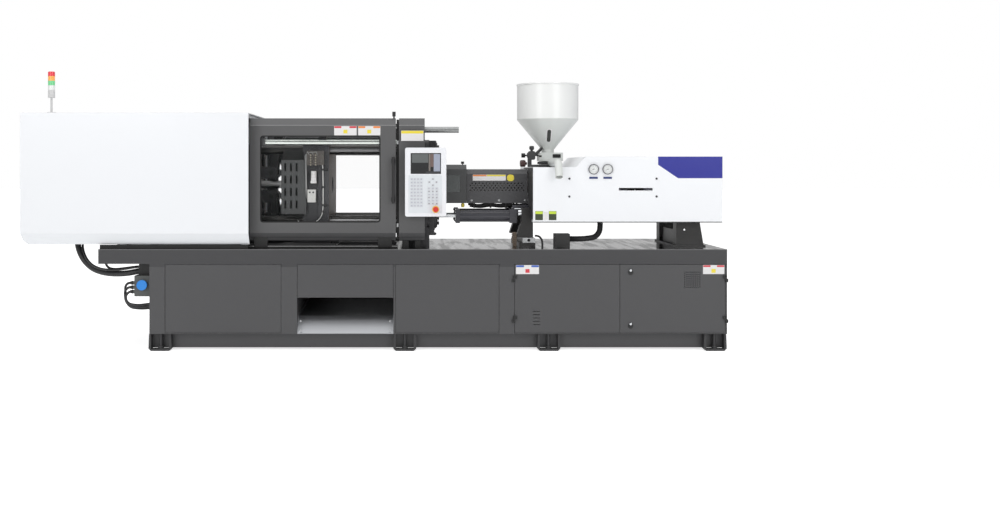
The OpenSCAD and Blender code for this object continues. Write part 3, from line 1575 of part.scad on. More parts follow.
// Barrel with its end cap and the nozzle, drilled through
module barrel()
  color([0.5, 0.49, 0.47])
    difference() {
      union() {
        bar_x(barrel_d, [barrel_left + 60, feed_right + 1], 0, axis_h);
        bar_x(barrel_d + 36, [barrel_left, barrel_left + 60], 0, axis_h);
        translate([barrel_left - 60, 0, axis_h])
          rotate([0, 90, 0])
            cylinder(d1 = nozzle_d + 22, d2 = barrel_d, h = 60);
        bar_x(nozzle_d, [nozzle_tip + 20, barrel_left - 60], 0, axis_h);
        bar_x(nozzle_d + 14, [barrel_left - 110, barrel_left - 60], 0, axis_h);
        translate([nozzle_tip, 0, axis_h])
          rotate([0, 90, 0])
            cylinder(d1 = 20, d2 = nozzle_d, h = 20);
        bar_x(barrel_d + 24, [feed_right, feed_right + 22], 0, axis_h);
      }
      bar_x(barrel_bore, [barrel_left + 30, feed_right + 22 + cut], 0, axis_h);
      translate([barrel_left - 20, 0, axis_h])
        rotate([0, 90, 0])
          cylinder(d1 = melt_d, d2 = barrel_bore, h = 50);
      bar_x(melt_d, [nozzle_tip - cut, barrel_left - 19], 0, axis_h);
      bar_z(50, hopper_x, 0, [axis_h, axis_h + barrel_d]);
    }

module heater_bands()
  color([0.7, 0.71, 0.72])
    for (i = [0 : 3]) {
      x = band_left + i * band_pitch;
      difference() {
        bar_x(barrel_d + 14, [x, x + band_w], 0, axis_h);
        bar_x(barrel_d, [x - cut, x + band_w + cut], 0, axis_h);
      }
      span([x + 35, x + 75], [-14, 14], [axis_h + barrel_d / 2 + 6, axis_h + barrel_d / 2 + 30]);
    }

// Guard round the heated barrel, with rows of cooling holes in its sides
module barrel_cover()
  color([0.2, 0.2, 0.21]) {
    wall = 3;
    top = purge_top - 35;
    section = [[-barrel_cover_y, barrel_cover_low], [-barrel_cover_y, barrel_cover_shoulder],
      [-barrel_cover_y + 35, top], [barrel_cover_y - 35, top],
      [barrel_cover_y, barrel_cover_shoulder], [barrel_cover_y, barrel_cover_low]];
    difference() {
      along_x([barrel_cover_left, barrel_cover_right])
        polygon(section);
      along_x([barrel_cover_left - cut, barrel_cover_right + cut])
        polygon([[-barrel_cover_y + wall, barrel_cover_low - cut],
          [-barrel_cover_y + wall, barrel_cover_shoulder - 1],
          [-barrel_cover_y + 36, top - wall], [barrel_cover_y - 36, top - wall],
          [barrel_cover_y - wall, barrel_cover_shoulder - 1],
          [barrel_cover_y - wall, barrel_cover_low - cut]]);
      // Four staggered rows of diamond holes in both sides
      pitch = 27;
      for (j = [0 : 3], i = [0 : 15 - j % 2])
        translate([barrel_cover_left + 29 + (i + (j % 2) / 2) * pitch, 0,
            barrel_cover_shoulder - 125 + j * pitch * 0.65])
          rotate([0, 45, 0])
            cube([10, 3 * barrel_cover_y, 10], center = true);
    }
    // Two spreader plates that sit on the barrel between the heater bands
    for (i = [1, 3]) {
      x = band_left + i * band_pitch - (band_pitch - band_w) / 2 - 2;
      difference() {
        span([x, x + 4], [-barrel_cover_y + wall - 1, barrel_cover_y - wall + 1],
          [barrel_cover_low + 4, axis_h + 70]);
        bar_x(barrel_d + 0.6, [x - cut, x + 4 + cut], 0, axis_h);
      }
    }
  }

// Side view of the injection cover, with the front step under the hopper
module injection_side(t)
  polygon([
    [inj_left + t, inj_low - (t > 0 ? cut : 0)], [inj_left + t, inj_step - t],
    [hopper_x + 150 + t, inj_step - t], [hopper_x + 221 + t, inj_top - t],
    [inj_right - t, inj_top - t], [inj_right - t, inj_low - (t > 0 ? cut : 0)]
  ]);

module injection_cover()
  color([0.95, 0.96, 0.97]) {
    gauge_plates();
    difference() {
      wall_xz([-inj_y, inj_y])
        injection_side(0);
      wall_xz([-inj_y + sheet_t, inj_y - sheet_t])
        injection_side(sheet_t);
      // Opening in the left end for the guides, the cylinders and the barrel
      span([inj_left - cut, inj_left + sheet_t + cut], [-guide_y - 100, guide_y + 100],
        [inj_low - cut, axis_h + 90]);
      // Opening in the top for the feed block
      span([inj_left + 40, hopper_x + 140], [-165, 165], [inj_step - sheet_t - cut, inj_step + cut]);
      // Slot in both sides
      span([1787, 2034], [-inj_y - cut, inj_y + cut], [1157, 1176]);
      for (x = [gauge_x(0), gauge_x(1)])
        bar_y(gauge_d - 16, x, [-inj_y - cut, -inj_y + sheet_t + cut], 1313);
    }
  }

function gauge_x(i) = 1601 + i * 103;

module pressure_gauges()
  for (i = [0, 1]) {
    color([0.8, 0.8, 0.8])
      difference() {
        bar_y(gauge_d, gauge_x(i), [-inj_y - 14, -inj_y], 1313);
        bar_y(gauge_d - 10, gauge_x(i), [-inj_y - 16, -inj_y - 8], 1313);
      }
    color([0.8, 0.8, 0.8])
      bar_y(gauge_d - 17, gauge_x(i), [-inj_y - 1, -inj_y + 40], 1313);
    color([0.1, 0.1, 0.1])
      bar_y(14, gauge_x(i), [-inj_y + 39, -inj_y + 70], 1313);
  }

module gauge_plates()
  for (i = [0, 1])
    span([gauge_x(i) - 18, gauge_x(i) + 18], [-inj_y - 2, -inj_y], [1244, 1258]);

// Spun hopper on a cast base, with a drain spout that comes over the cover's front edge
module hopper()
  color([0.93, 0.94, 0.93]) {
    difference() {
      union() {
        translate([hopper_x, 0, 0])
          rotate_extrude($fn = 64)
            polygon([
              [neck_d / 2 - hopper_t, hopper_neck], [neck_d / 2, hopper_neck],
              [neck_d / 2, hopper_neck + 24], [hopper_d / 2, hopper_cone],
              [hopper_d / 2, hopper_top - 12], [hopper_d / 2 + 5, hopper_top - 9],
              [hopper_d / 2 + 5, hopper_top], [hopper_d / 2 - hopper_t, hopper_top],
              [hopper_d / 2 - hopper_t, hopper_cone + 1],
              [neck_d / 2 - hopper_t, hopper_neck + 25]
            ]);
      }
    }
    flange = 12;
    difference() {
      union() {
        span([hopper_x - 75, hopper_x + 109], [-75, 75], [hopper_neck - 65, hopper_neck]);
        span([hopper_x - 60, hopper_x + 60], [-60, 60], [base_low + flange, hopper_neck - 64]);
        span([hopper_x - 80, hopper_x + 116], [-90, 90], [base_low, base_low + flange]);
        spout(spout_d, 0);
      }
      bar_z(60, hopper_x, 0, [base_low - cut, hopper_neck + cut]);
      spout(spout_d - 8, cut);
      span([hopper_x - 76, hopper_x + 34], [-40 - run_gap, 40 + run_gap],
        [hopper_neck - 26 - run_gap, hopper_neck - 16 + run_gap]);
    }
  }

// Drain spout: level over the cover's front edge, then bent down and forward
module spout(d, extra) {
  straight = inj_y + 15;
  lean = 27;
  end = 180 - lean;
  sleeve = 8;
  translate([hopper_x + 14, 0, spout_h])
    rotate([90, 0, 0])
      cylinder(d = d, h = straight);
  translate([hopper_x + 14, -straight, spout_h - spout_bend])
    rotate([90, 0, 90]) {
      rotate(90)
        rotate_extrude(angle = end - 90)
          translate([spout_bend, 0])
            circle(d = d);
      rotate(end)
        translate([spout_bend, -sleeve, 0])
          rotate([-90, 0, 0])
            cylinder(d = d + 3, h = sleeve + spout_l + extra);
    }
}

// Sliding plate that shuts the hopper's throat, shown open, with its pull knob
module hopper_shutter()
  color([0.12, 0.12, 0.12]) {
    z = [hopper_neck - 26, hopper_neck - 16];
    span([hopper_x - 75 - shutter_stroke, hopper_x - 40], [-40, 40], z);
    bar_x(12, [hopper_x - 75 - shutter_stroke - 30, hopper_x - 75 - shutter_stroke], 0,
      hopper_neck - 21);
    bar_x(34, [hopper_x - 75 - shutter_stroke - 58, hopper_x - 75 - shutter_stroke - 30], 0,
      hopper_neck - 21);
  }

// Two double-acting cylinders that press the nozzle against the mould
module sled_cylinders()
  color([0.15, 0.15, 0.16])
    for (y = [-sled_y, sled_y])
      difference() {
        right = sled_left + sled_l;
        union() {
          span([sled_left - 10, sled_left + 22], [y - 50, y + 50], [sled_h - 52, sled_h + 53]);
          span([right - 42, right + 13], [y - 50, y + 50], [sled_h - 52, sled_h + 53]);
          bar_x(sled_d, [sled_left + 20, right - 40], y, sled_h);
          for (a = [-38, 38], b = [-38, 38])
            bar_x(10, [sled_left - 16, right], y + a, sled_h + b);
          span([right - 20, carriage_front], [y - 12, y + 12], [guide_h + 36, guide_h + 56]);
          span([right - 20, right + 14], [y - 20, y + 20], [sled_h + 50, guide_h + 56]);
        }
        bar_x(sled_d - 16, [sled_left + 22, right - 42], y, sled_h);
        bar_x(sled_rod_d + 2 * run_gap, [sled_left - 12, sled_left + 24], y, sled_h);
      }

// Thrust block, hydraulic motor and the injection rods
module thrust_housing()
  color([0.22, 0.24, 0.28]) {
    x = thrust_left;
    difference() {
      union() {
        span([x, x + 130], [-240, 240], [axis_h - 70, axis_h + 70]);
        bar_x(170, [x + 130, x + 180], 0, axis_h);
        bar_x(150, [x + 180, x + 330], 0, axis_h);
        for (a = [0 : 72 : 359])
          rotate_about_axis(a)
            bar_x(44, [x + 200, x + 310], 74, axis_h);
      }
      for (y = [-190, 190])
        bar_x(70 + 2 * run_gap, [x - cut, x + 130 + cut], y, axis_h);
      bar_x(screw_d + 15 + 2 * run_gap, [x - cut, x + 60], 0, axis_h);
    }
  }

module rotate_about_axis(a)
  translate([0, 0, axis_h])
    rotate([a, 0, 0])
      translate([0, 0, -axis_h])
        children();

// Plasticising screw: one helical flight on a tapered core, with a splined tail
module screw()
  color([0.6, 0.6, 0.6]) {
    flight_left = barrel_left + 40 + 45;
    flight_l = feed_right - 91 - flight_left;
    turns = round(flight_l / screw_d);
    core = screw_d / 2 - 7;
    translate([flight_left, 0, axis_h])
      rotate([0, 90, 0])
        linear_extrude(height = flight_l, twist = -360 * turns, slices = turns * 8, $fn = 8)
          polygon([
            for (a = [-20, 20]) screw_d / 2 * [cos(a), sin(a)],
            for (a = [30 : 60 : 330]) core * [cos(a), sin(a)]
          ]);
    translate([flight_left - 30, 0, axis_h])
      rotate([0, 90, 0])
        cylinder(d1 = 8, d2 = 2 * core - 8, h = 34);
    bar_x(screw_d - 5, [flight_left + flight_l - 7, thrust_left - 9], 0, axis_h);
    bar_x(screw_d + 15, [thrust_left - 10, thrust_left + 58], 0, axis_h);
  }

// Boxes and hoses

// Conduit box on the deck, and the socket box on the cabinet's end wall
module junction_boxes() {
  color([0.1, 0.1, 0.11]) {
    span([1322, 1432], [-430, -330], [deck_h, 837]);
    span([cabinet_left - 103, cabinet_left - 26], [-470, -380], [541, beam_low]);
  }
  color([0.55, 0.55, 0.56]) {
    span([cabinet_left - 118, cabinet_left], [-540, -430], [391, 541]);
    for (z = [420, 452, 484])
      bar_x(26, [cabinet_left - 140, cabinet_left - 118], -485, z);
  }
  color([0.1, 0.3, 0.7]) {
    bar_y(65, cabinet_left - 56, [-562, -540], 476);
    bar_y(74, cabinet_left - 56, [-575, -562], 476);
  }
}

hose_route = [[-2228, -300, 800], [-2227, -302, 770], [-2222, -306, 735], [-2205, -315, 690],
  [-2178, -325, 645], [-2140, -338, 605], [-2090, -356, 573], [-2021, -380, 552], [-1949, -402, 544],
  [-1880, -416, 544], [-1820, -423, 549], [-1775, -425, 557], [-1745, -425, 562.5], [-1726.4, -425, 563.5]];
thin_route = [[-2184, -312, 800], [-2183, -322, 770], [-2177, -342, 735], [-2159, -370, 695],
  [-2130, -402, 655], [-2093, -430, 622], [-2054, -448, 600], [-2006, -457, 584], [-1948, -460, 577],
  [-1880, -460, 578], [-1820, -459, 585], [-1775, -457, 593], [-1745, -456, 596.5], [-1726.4, -456, 597]];
beam_route = [[-1980, -430, beam_low - 0.4], [-1979, -430, 622], [-1974, -430, 608], [-1965, -430, 596],
  [-1952, -430, 587], [-1935, -430, 582], [-1912, -430, 580], [-1880, -430, 581.5], [-1840, -430, 586],
  [-1795, -430, 592], [-1755, -430, 597], [-1726.4, -430, 598]];
cable_routes = [
  [[-1764.6, -485, 420], [-1775, -485, 420], [-1790, -487, 417], [-1803, -490, 408], [-1812, -493, 395],
    [-1815, -496, 380], [-1811, -499, 361], [-1800, -502, 345], [-1784, -504, 334], [-1765, -505, 329],
    [-1730, -503, 325], [-1690, -497, 326], [-1655, -490, 330], [-1623.4, -488, 332]],
  [[-1764, -485, 452], [-1782, -485, 452], [-1798, -484, 449], [-1813, -481, 439], [-1823, -478, 425],
    [-1826, -476, 408], [-1825, -475, 380], [-1819, -475, 351], [-1805, -475, 329], [-1784, -474, 315],
    [-1758, -473, 310], [-1720, -472, 308], [-1680, -471, 309], [-1650, -470, 312], [-1623.4, -470, 314]],
  [[-1763.8, -485, 484], [-1782, -484, 484], [-1799, -479, 481], [-1815, -472, 471], [-1825, -464, 456],
    [-1829, -457, 438], [-1829, -450, 400], [-1827, -447, 365], [-1821, -446, 338], [-1806, -445, 315],
    [-1784, -444, 300], [-1757, -443, 294], [-1715, -441, 291], [-1680, -440, 292], [-1650, -438, 294],
    [-1623.4, -438, 296]]
];

module left_hoses()
  color([0.08, 0.08, 0.08]) {
    hose(hose_route, hose_d, 2, 10);
    hose(thin_route, 17, 2, 8);
    hose(beam_route, 17, 2, 8);
    for (r = cable_routes)
      hose(r, cable_d * 0.9, 2, 8);
  }

conduit_route = [[1662, -380, 924], [1662, -380, 890], [1655, -380, 850], [1625, -380, 815],
  [1570, -380, 802], [1500, -380, 798], [1460, -380, 798], [1432, -380, 798]];

module conduit_hose()
  color([0.07, 0.07, 0.07])
    hose(conduit_route, conduit_d, 3, 10);

bed_frame();
bed_panels();
chute_tray();
levelling_feet();
clamp_cover();
gate_rails();
stationary_platen();
tie_bars();
tie_bar_nuts();
side_covers();
lamp_post();
lamp_lenses();
front_support();
rear_support();
carriage_guides();
sled_rods();
junction_boxes();
electrical_plate();
pump_motor();
left_hoses();
conduit_hose();
front_gate();
front_gate_window();
front_gate_handle();
rear_gate();
rear_gate_window();
rear_platen();
clamp_cylinder();
mould_height_nuts();
rear_link_upper();
rear_link_lower();
front_link_upper();
front_link_lower();
crosshead();
drive_link_upper();
drive_link_lower();
moving_platen();
platen_guard();
service_manifold();
ejector();
safety_bar();
left_electrical_door();
right_electrical_door();
door_lock_upper();
door_lock_lower();
control_panel();
panel_keys();
stop_button();
purge_guard();
carriage();
barrel();
heater_bands();
barrel_cover();
injection_cover();
pressure_gauges();
hopper();
hopper_shutter();
sled_cylinders();
thrust_housing();
screw();
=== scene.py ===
import math

import bmesh
import bpy
from mathutils import Matrix, Vector


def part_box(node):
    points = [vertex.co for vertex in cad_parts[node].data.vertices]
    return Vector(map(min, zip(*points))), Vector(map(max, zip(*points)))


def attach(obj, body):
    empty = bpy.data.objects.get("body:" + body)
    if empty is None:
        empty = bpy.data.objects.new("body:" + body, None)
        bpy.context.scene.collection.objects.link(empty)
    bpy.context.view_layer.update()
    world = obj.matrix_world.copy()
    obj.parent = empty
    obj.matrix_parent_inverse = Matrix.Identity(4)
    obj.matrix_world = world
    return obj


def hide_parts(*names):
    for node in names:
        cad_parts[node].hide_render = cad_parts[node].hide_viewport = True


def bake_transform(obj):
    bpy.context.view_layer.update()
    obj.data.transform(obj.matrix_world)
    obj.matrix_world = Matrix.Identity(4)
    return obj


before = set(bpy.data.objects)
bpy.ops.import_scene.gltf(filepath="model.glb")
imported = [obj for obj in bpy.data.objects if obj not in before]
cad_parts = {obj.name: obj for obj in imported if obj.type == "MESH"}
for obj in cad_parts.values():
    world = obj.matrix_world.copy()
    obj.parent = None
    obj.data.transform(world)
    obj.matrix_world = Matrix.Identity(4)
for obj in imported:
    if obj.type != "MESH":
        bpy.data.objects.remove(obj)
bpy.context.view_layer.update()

# Camera: level with the gate window and a little left of the machine's
# middle, 7.5 m in front of the bed, with the horizon high in the frame.
BED_FRONT = -0.575
CAMERA_DISTANCE = 7.5
camera_data = bpy.data.cameras.new("camera")
camera_data.sensor_width = 36.0
camera_data.lens = 37.44
camera_data.shift_x = 0.086
camera_data.shift_y = -0.090
camera = bpy.data.objects.new("camera", camera_data)
camera.location = (0.2856, BED_FRONT - CAMERA_DISTANCE, 1.3147)
camera.rotation_euler = (math.pi / 2, 0, 0)
bpy.context.collection.objects.link(camera)
bpy.context.scene.camera = camera


# Studio: a pale floor without an edge in sight, a bright even surround, and
# wide soft lamps above and in front, so the white covers stay soft.
def feed(tree, made, feeds):
    """Gives a node's sockets, by name or number, a value or a link."""
    for key, value in feeds.items():
        socket = made.inputs[key]
        if isinstance(value, bpy.types.NodeSocket):
            tree.links.new(value, socket)
        elif socket.type == "RGBA":
            socket.default_value = (*value[:3], 1)
        else:
            socket.default_value = value


def node(tree, kind, feeds=None, **settings):
    made = tree.nodes.new("ShaderNode" + kind)
    for key, value in settings.items():
        setattr(made, key, value)
    feed(tree, made, feeds or {})
    return made


def remap(tree, value, low=0.0, high=1.0, start=0.0, end=1.0):
    """Turns start to end into low to high."""
    return node(tree, "MapRange", {"Value": value, "From Min": start, "From Max": end,
                                   "To Min": low, "To Max": high}).outputs[0]


def by_camera(tree, elsewhere, seen):
    """A value that differs for what the camera sees directly."""
    path = node(tree, "LightPath")
    return remap(tree, path.outputs["Is Camera Ray"], elsewhere, seen)


def blank_material(name, rough, metal=0.0, coat=0.0, specular=0.5):
    material = bpy.data.materials.new(name)
    material.use_nodes = True
    tree = material.node_tree
    shader = tree.nodes["Principled BSDF"]
    feed(tree, shader, {"Roughness": rough, "Metallic": metal, "Coat Weight": coat,
                        "Coat Roughness": 0.12, "Specular IOR Level": specular})
    return material, tree, shader


def studio_floor(size):
    mesh = bpy.data.meshes.new("studio_floor")
    corners = [(-size, -size, 0), (size, -size, 0), (size, size, 0), (-size, size, 0)]
    mesh.from_pydata(corners, [], [(0, 1, 2, 3)])
    floor = bpy.data.objects.new("studio_floor", mesh)
    bpy.context.collection.objects.link(floor)
    material, tree, shader = blank_material("studio_floor", 0.9, specular=0.1)
    feed(tree, shader, {"Base Color": (0.93, 0.93, 0.93), "Emission Strength": 1.0,
                        "Emission Color": by_camera(tree, 0.32, 0.72)})
    mesh.materials.append(material)


def soft_lamp(name, place, aim, width, height, power):
    lamp = bpy.data.lights.new(name, "AREA")
    lamp.shape = "RECTANGLE"
    lamp.size = width
    lamp.size_y = height
    lamp.energy = power
    holder = bpy.data.objects.new(name, lamp)
    holder.location = place
    direction = Vector(aim) - Vector(place)
    holder.rotation_euler = direction.to_track_quat("-Z", "Y").to_euler()
    bpy.context.collection.objects.link(holder)


studio_floor(60.0)
soft_lamp("lamp_above", (0, -1.5, 6.0), (0, 0, 0.8), 9.0, 4.0, 190)
soft_lamp("lamp_front_left", (-4.5, -7.5, 3.6), (-0.6, 0, 0.9), 3.5, 3.5, 122)
soft_lamp("lamp_front_right", (5.0, -7.5, 3.2), (0.8, 0, 0.9), 3.5, 3.5, 108)
soft_lamp("lamp_behind", (0, 7.0, 4.5), (0, 0, 1.0), 8.0, 3.0, 80)

surround = bpy.data.worlds.new("surround")
surround.use_nodes = True
tree = surround.node_tree
feed(tree, tree.nodes["Background"], {"Color": (1.0, 1.0, 1.0),
                                      "Strength": by_camera(tree, 0.46, 1.0)})
bpy.context.scene.world = surround
bpy.context.scene.view_settings.view_transform = "Standard"
bpy.context.scene.view_settings.look = "None"


# Bed: a welded box of folded and sprayed steel sheet under a ground top
# beam. Its skins carry a satin dark grey coat with a fine orange peel.
def reckon(tree, operation, *values):
    return node(tree, "Math", dict(enumerate(values)), operation=operation).outputs[0]


def multiply(tree, first, *others):
    for other in others:
        first = reckon(tree, "MULTIPLY", first, other)
    return first


def spot(tree):
    """Where each point lies in the machine's frame."""
    return node(tree, "TexCoord").outputs["Object"]


def one_axis(tree, vector, axis):
    return node(tree, "SeparateXYZ", {0: vector}).outputs[axis]


def noise(tree, scale, detail, place=None):
    return node(tree, "TexNoise", {"Vector": place or spot(tree), "Scale": scale,
                                   "Detail": detail}).outputs[0]


def shared_effect(name, inputs, output, kind):
    """A node group with named inputs and one output. It gives back the group,
    its inputs, and a function that feeds its output."""
    group = bpy.data.node_groups.new(name, "ShaderNodeTree")
    for label, value in inputs.items():
        size = len(value) if isinstance(value, tuple) else 1
        socket = group.interface.new_socket(label, in_out="INPUT", socket_type={
            1: "NodeSocketFloat", 3: "NodeSocketVector", 4: "NodeSocketColor"}[size])
        socket.default_value = value
    group.interface.new_socket(output, in_out="OUTPUT", socket_type=kind)
    given = group.nodes.new("NodeGroupInput").outputs
    outside = group.nodes.new("NodeGroupOutput")
    return group, given, lambda value: feed(group, outside, {output: value})


# Soft edge and orange peel, as a normal
peel_group, given, give = shared_effect(
    "orange_peel", {"Size": 260.0, "Depth": 0.08, "Edge": 0.002}, "Normal",
    "NodeSocketVector")
edge = node(peel_group, "Bevel", {"Radius": given["Edge"]}, samples=4)
give(node(peel_group, "Bump", {
    "Distance": 0.001, "Strength": given["Depth"], "Normal": edge.outputs[0],
    "Height": noise(peel_group, given["Size"], 2.0)}).outputs[0])

# Uneven tone: a colour that drifts a little over a large panel
tone_group, given, give = shared_effect(
    "uneven_tone", {"Colour": (0.5, 0.5, 0.5, 1), "Amount": 0.1, "Size": 1.5},
    "Colour", "NodeSocketColor")
cloud = remap(tone_group, noise(tone_group, given["Size"], 3.0), -1.0, 1.0)
shift = reckon(tone_group, "MULTIPLY_ADD", cloud, given["Amount"], 1.0)
give(node(tone_group, "VectorMath", {0: given["Colour"], "Scale": shift},
          operation="SCALE").outputs[0])

# Edge wear: a mask along the outer edges where a coat is rubbed thin
wear_group, given, give = shared_effect(
    "edge_wear", {"Width": 0.003, "Amount": 0.5}, "Mask", "NodeSocketFloat")
edge = node(wear_group, "Bevel", {"Radius": given["Width"]}, samples=4)
flat = node(wear_group, "NewGeometry").outputs["Normal"]
turn = node(wear_group, "VectorMath", {0: edge.outputs[0], 1: flat},
            operation="DOT_PRODUCT").outputs["Value"]
give(multiply(wear_group, remap(wear_group, turn, start=0.985, end=0.86),
              remap(wear_group, noise(wear_group, 38.0, 4.0), start=0.45, end=0.7),
              given["Amount"]))


def normal_along(tree, axis):
    return one_axis(tree, node(tree, "NewGeometry").outputs["Normal"], axis)


# Settled dust: a mask on whatever faces up
dust_group, given, give = shared_effect("settled_dust", {"Amount": 0.2}, "Mask",
                                        "NodeSocketFloat")
give(multiply(dust_group, remap(dust_group, normal_along(dust_group, "Z"), start=0.6),
              noise(dust_group, 5.0, 6.0), given["Amount"]))


def placed(tree, group, **values):
    """A shared effect placed in one material, with its own values."""
    return node(tree, "Group", values, node_tree=group).outputs[0]


def mix_colour(tree, mask, under, over):
    return node(tree, "Mix", {"Factor": mask, 6: under, 7: over},
                data_type="RGBA").outputs[2]


def sprayed(name, colour, rough=0.42, wear=0.25, dust=0.1, peel=0.06,
            bare=(0.32, 0.32, 0.33), tone=0.05, edge=0.002, coat=0.0, grade=None):
    """Sprayed steel: even coat, orange peel, rubbed edges and a little dust.
    grade, where given, lays another colour over part of the piece."""
    material, tree, shader = blank_material(name, rough, coat=coat)
    painted = placed(tree, tone_group, Colour=colour, Amount=tone, Size=1.3)
    if grade:
        painted = grade(tree, painted)
    rubbed = placed(tree, wear_group, Amount=wear, Width=edge * 1.5)
    dusty = placed(tree, dust_group, Amount=dust)
    worn = mix_colour(tree, rubbed, painted, bare)
    feed(tree, shader, {
        "Base Color": mix_colour(tree, dusty, worn, (0.5, 0.49, 0.47)),
        "Normal": placed(tree, peel_group, Size=420.0, Depth=peel, Edge=edge),
        "Roughness": remap(tree, noise(tree, 2.2, 5.0), rough - 0.06, rough + 0.08)})
    return material


def finish(material, *names):
    """Gives CAD nodes their material."""
    for name in names:
        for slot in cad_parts[name].material_slots:
            slot.material = material


BED_GREY = (0.064, 0.064, 0.067)
HINGE_BLACK = (0.012, 0.012, 0.012)


def below(tree, axis, limit):
    """A mask of the points that lie short of a limit along one axis."""
    return reckon(tree, "LESS_THAN", one_axis(tree, spot(tree), axis), limit)


def black_hinges(tree, painted):
    return mix_colour(tree, below(tree, "Y", -0.5762), painted, HINGE_BLACK)


finish(sprayed("bed_paint", BED_GREY, grade=black_hinges), "bed_panels",
       "left_electrical_door", "right_electrical_door")


# Deck: the top beam's upper face is ground and polished bare steel, bright
# enough to mirror what stands on it. Dark and bright streaks are painted on its right
# part as reflections, its left part under the cover and gates is painted black as
# shade, and a painted highlight runs along its edge.
def above(tree, axis, limit):
    """A mask of the points that lie beyond a limit along one axis."""
    return reckon(tree, "GREATER_THAN", one_axis(tree, spot(tree), axis), limit)


def beam_shade(tree, painted):
    """The top beam is a shade darker, and its upper edge catches the light."""
    beam = mix_colour(tree, above(tree, "Z", 0.6075), painted, (0.043, 0.043, 0.046))
    lit = mix_colour(tree, above(tree, "Z", 0.7305), beam, (0.115, 0.115, 0.118))
    return black_hinges(tree, lit)


def polish_deck(material, height, painted_shade_left_of, rough):
    """The face is painted glossy black as shade left of a given X, and painted
    with dark and bright streaks as reflections right of it.
    """
    tree = material.node_tree
    shader = tree.nodes["Principled BSDF"]
    deck = multiply(tree, reckon(tree, "GREATER_THAN", normal_along(tree, "Z"), 0.9),
                    above(tree, "Z", height))
    bright = above(tree, "X", painted_shade_left_of)
    # Painted reflections: stretched streaks, dark and bright, stand in for what the
    # polished face mirrors; left of the given X, black stands in for shade.
    stretch = node(tree, "Mapping", {0: spot(tree), "Scale": (3.6, 0.4, 1.0)})
    tone = node(tree, "ValToRGB", {0: noise(tree, 4.0, 5.0, stretch.outputs[0])})
    for element, place, colour in zip(tone.color_ramp.elements, (0.42, 0.56), (
            (0.10, 0.10, 0.105, 1), (0.95, 0.95, 0.96, 1))):
        element.position = place
        element.color = colour
    coated, dull = (shader.inputs[name].links[0].from_socket
                    for name in ("Base Color", "Roughness"))
    steel = mix_colour(tree, bright, (0.012, 0.012, 0.012), tone.outputs[0])
    smooth = node(tree, "Mix", {"Factor": deck, 2: dull, 3: rough}, data_type="FLOAT")
    feed(tree, shader, {"Base Color": mix_colour(tree, deck, coated, steel),
                        "Roughness": smooth.outputs[0],
                        "Metallic": multiply(tree, deck, bright)})


bed_and_deck = sprayed("bed_and_deck", BED_GREY, grade=beam_shade)
DECK_TOP = 0.736
polish_deck(bed_and_deck, height=DECK_TOP - 0.0008, painted_shade_left_of=0.36, rough=0.14)
finish(bed_and_deck, "bed_frame")

# Parts chute: a bare folded steel tray that parts slide down to the front.
# Its front apron is screwed to the bay's two posts.

# Brushed or ground metal: fine lines one way, which spread its highlights
brush_group, given, give = shared_effect("brushed_grain", {"Stretch": (6, 300, 300)},
                                         "Streak", "NodeSocketFloat")
lines = node(brush_group, "VectorMath", {0: spot(brush_group), 1: given["Stretch"]},
             operation="MULTIPLY")
give(noise(brush_group, 1.0, 4.0, lines.outputs[0]))


def ground(name, colour, rough=0.3, stretch=(8, 260, 260), spread=0.12,
           contrast=0.25, dust=0.05):
    """Bare or plated metal with fine lines along one axis."""
    material, tree, shader = blank_material(name, rough, metal=1.0)
    streaks = placed(tree, brush_group, Stretch=stretch)
    dark = tuple(c * (1 - contrast) for c in colour)
    toned = mix_colour(tree, streaks, dark, colour)
    dusty = placed(tree, dust_group, Amount=dust)
    feed(tree, shader, {
        "Base Color": mix_colour(tree, dusty, toned, (0.4, 0.39, 0.37)),
        "Roughness": remap(tree, streaks, rough - spread / 2, rough + spread),
        "Normal": placed(tree, peel_group, Size=300.0, Depth=0.03, Edge=0.001)})
    return material


finish(ground("tray_steel", (0.42, 0.43, 0.45), 0.38, (3, 120, 120)), "chute_tray")

# Bay screws: zinc pan heads that hold the chute's apron, each on a washer, in
# the places that a hand can reach from the front.
FRONT = (0, -1, 0)
zinc = ground("zinc", (0.58, 0.59, 0.6), 0.32, (60, 60, 60), spread=0.16)


def add_turned(bm, profile, at, axis=(0, 0, 1), steps=24):
    """Turns a profile of (radius, height) pairs round an axis through at."""
    turn = Vector((0, 0, 1)).rotation_difference(Vector(axis).normalized())
    rings = []
    for radius, height in profile:
        ring = []
        for k in range(1 if radius < 1e-6 else steps):
            angle = 2 * math.pi * k / steps
            point = Vector((radius * math.cos(angle), radius * math.sin(angle), height))
            ring.append(bm.verts.new(Vector(at) + turn @ point))
        rings.append(ring)
    for low, high in zip(rings, rings[1:]):
        for k in range(steps):
            corners = []
            for vert in (low[k % len(low)], low[(k + 1) % len(low)],
                         high[(k + 1) % len(high)], high[k % len(high)]):
                if vert not in corners:
                    corners.append(vert)
            if len(corners) > 2:
                bm.faces.new(corners)
    for ring in (rings[0], rings[-1]):
        if len(ring) > 2:
            bm.faces.new(ring)


SHARP_FROM = math.radians(38)


def make(name, bm, material, body, soften=0.0):
    """Finishes a scene piece: its mesh, material, soft edges and body."""
    bmesh.ops.recalc_face_normals(bm, faces=bm.faces)
    mesh = bpy.data.meshes.new(name)
    for face in bm.faces:
        face.smooth = True
    bm.to_mesh(mesh)
    bm.free()
    mesh.set_sharp_from_angle(angle=SHARP_FROM)
    for one in material if isinstance(material, list) else [material]:
        mesh.materials.append(one)
    made = bpy.data.objects.new(name, mesh)
    bpy.context.collection.objects.link(made)
    if soften:
        bevel = made.modifiers.new("soft_edges", "BEVEL")
        bevel.width = soften
        bevel.segments = 2
        bevel.limit_method = "ANGLE"
        bevel.angle_limit = SHARP_FROM
    if body:
        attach(made, body)
    return made


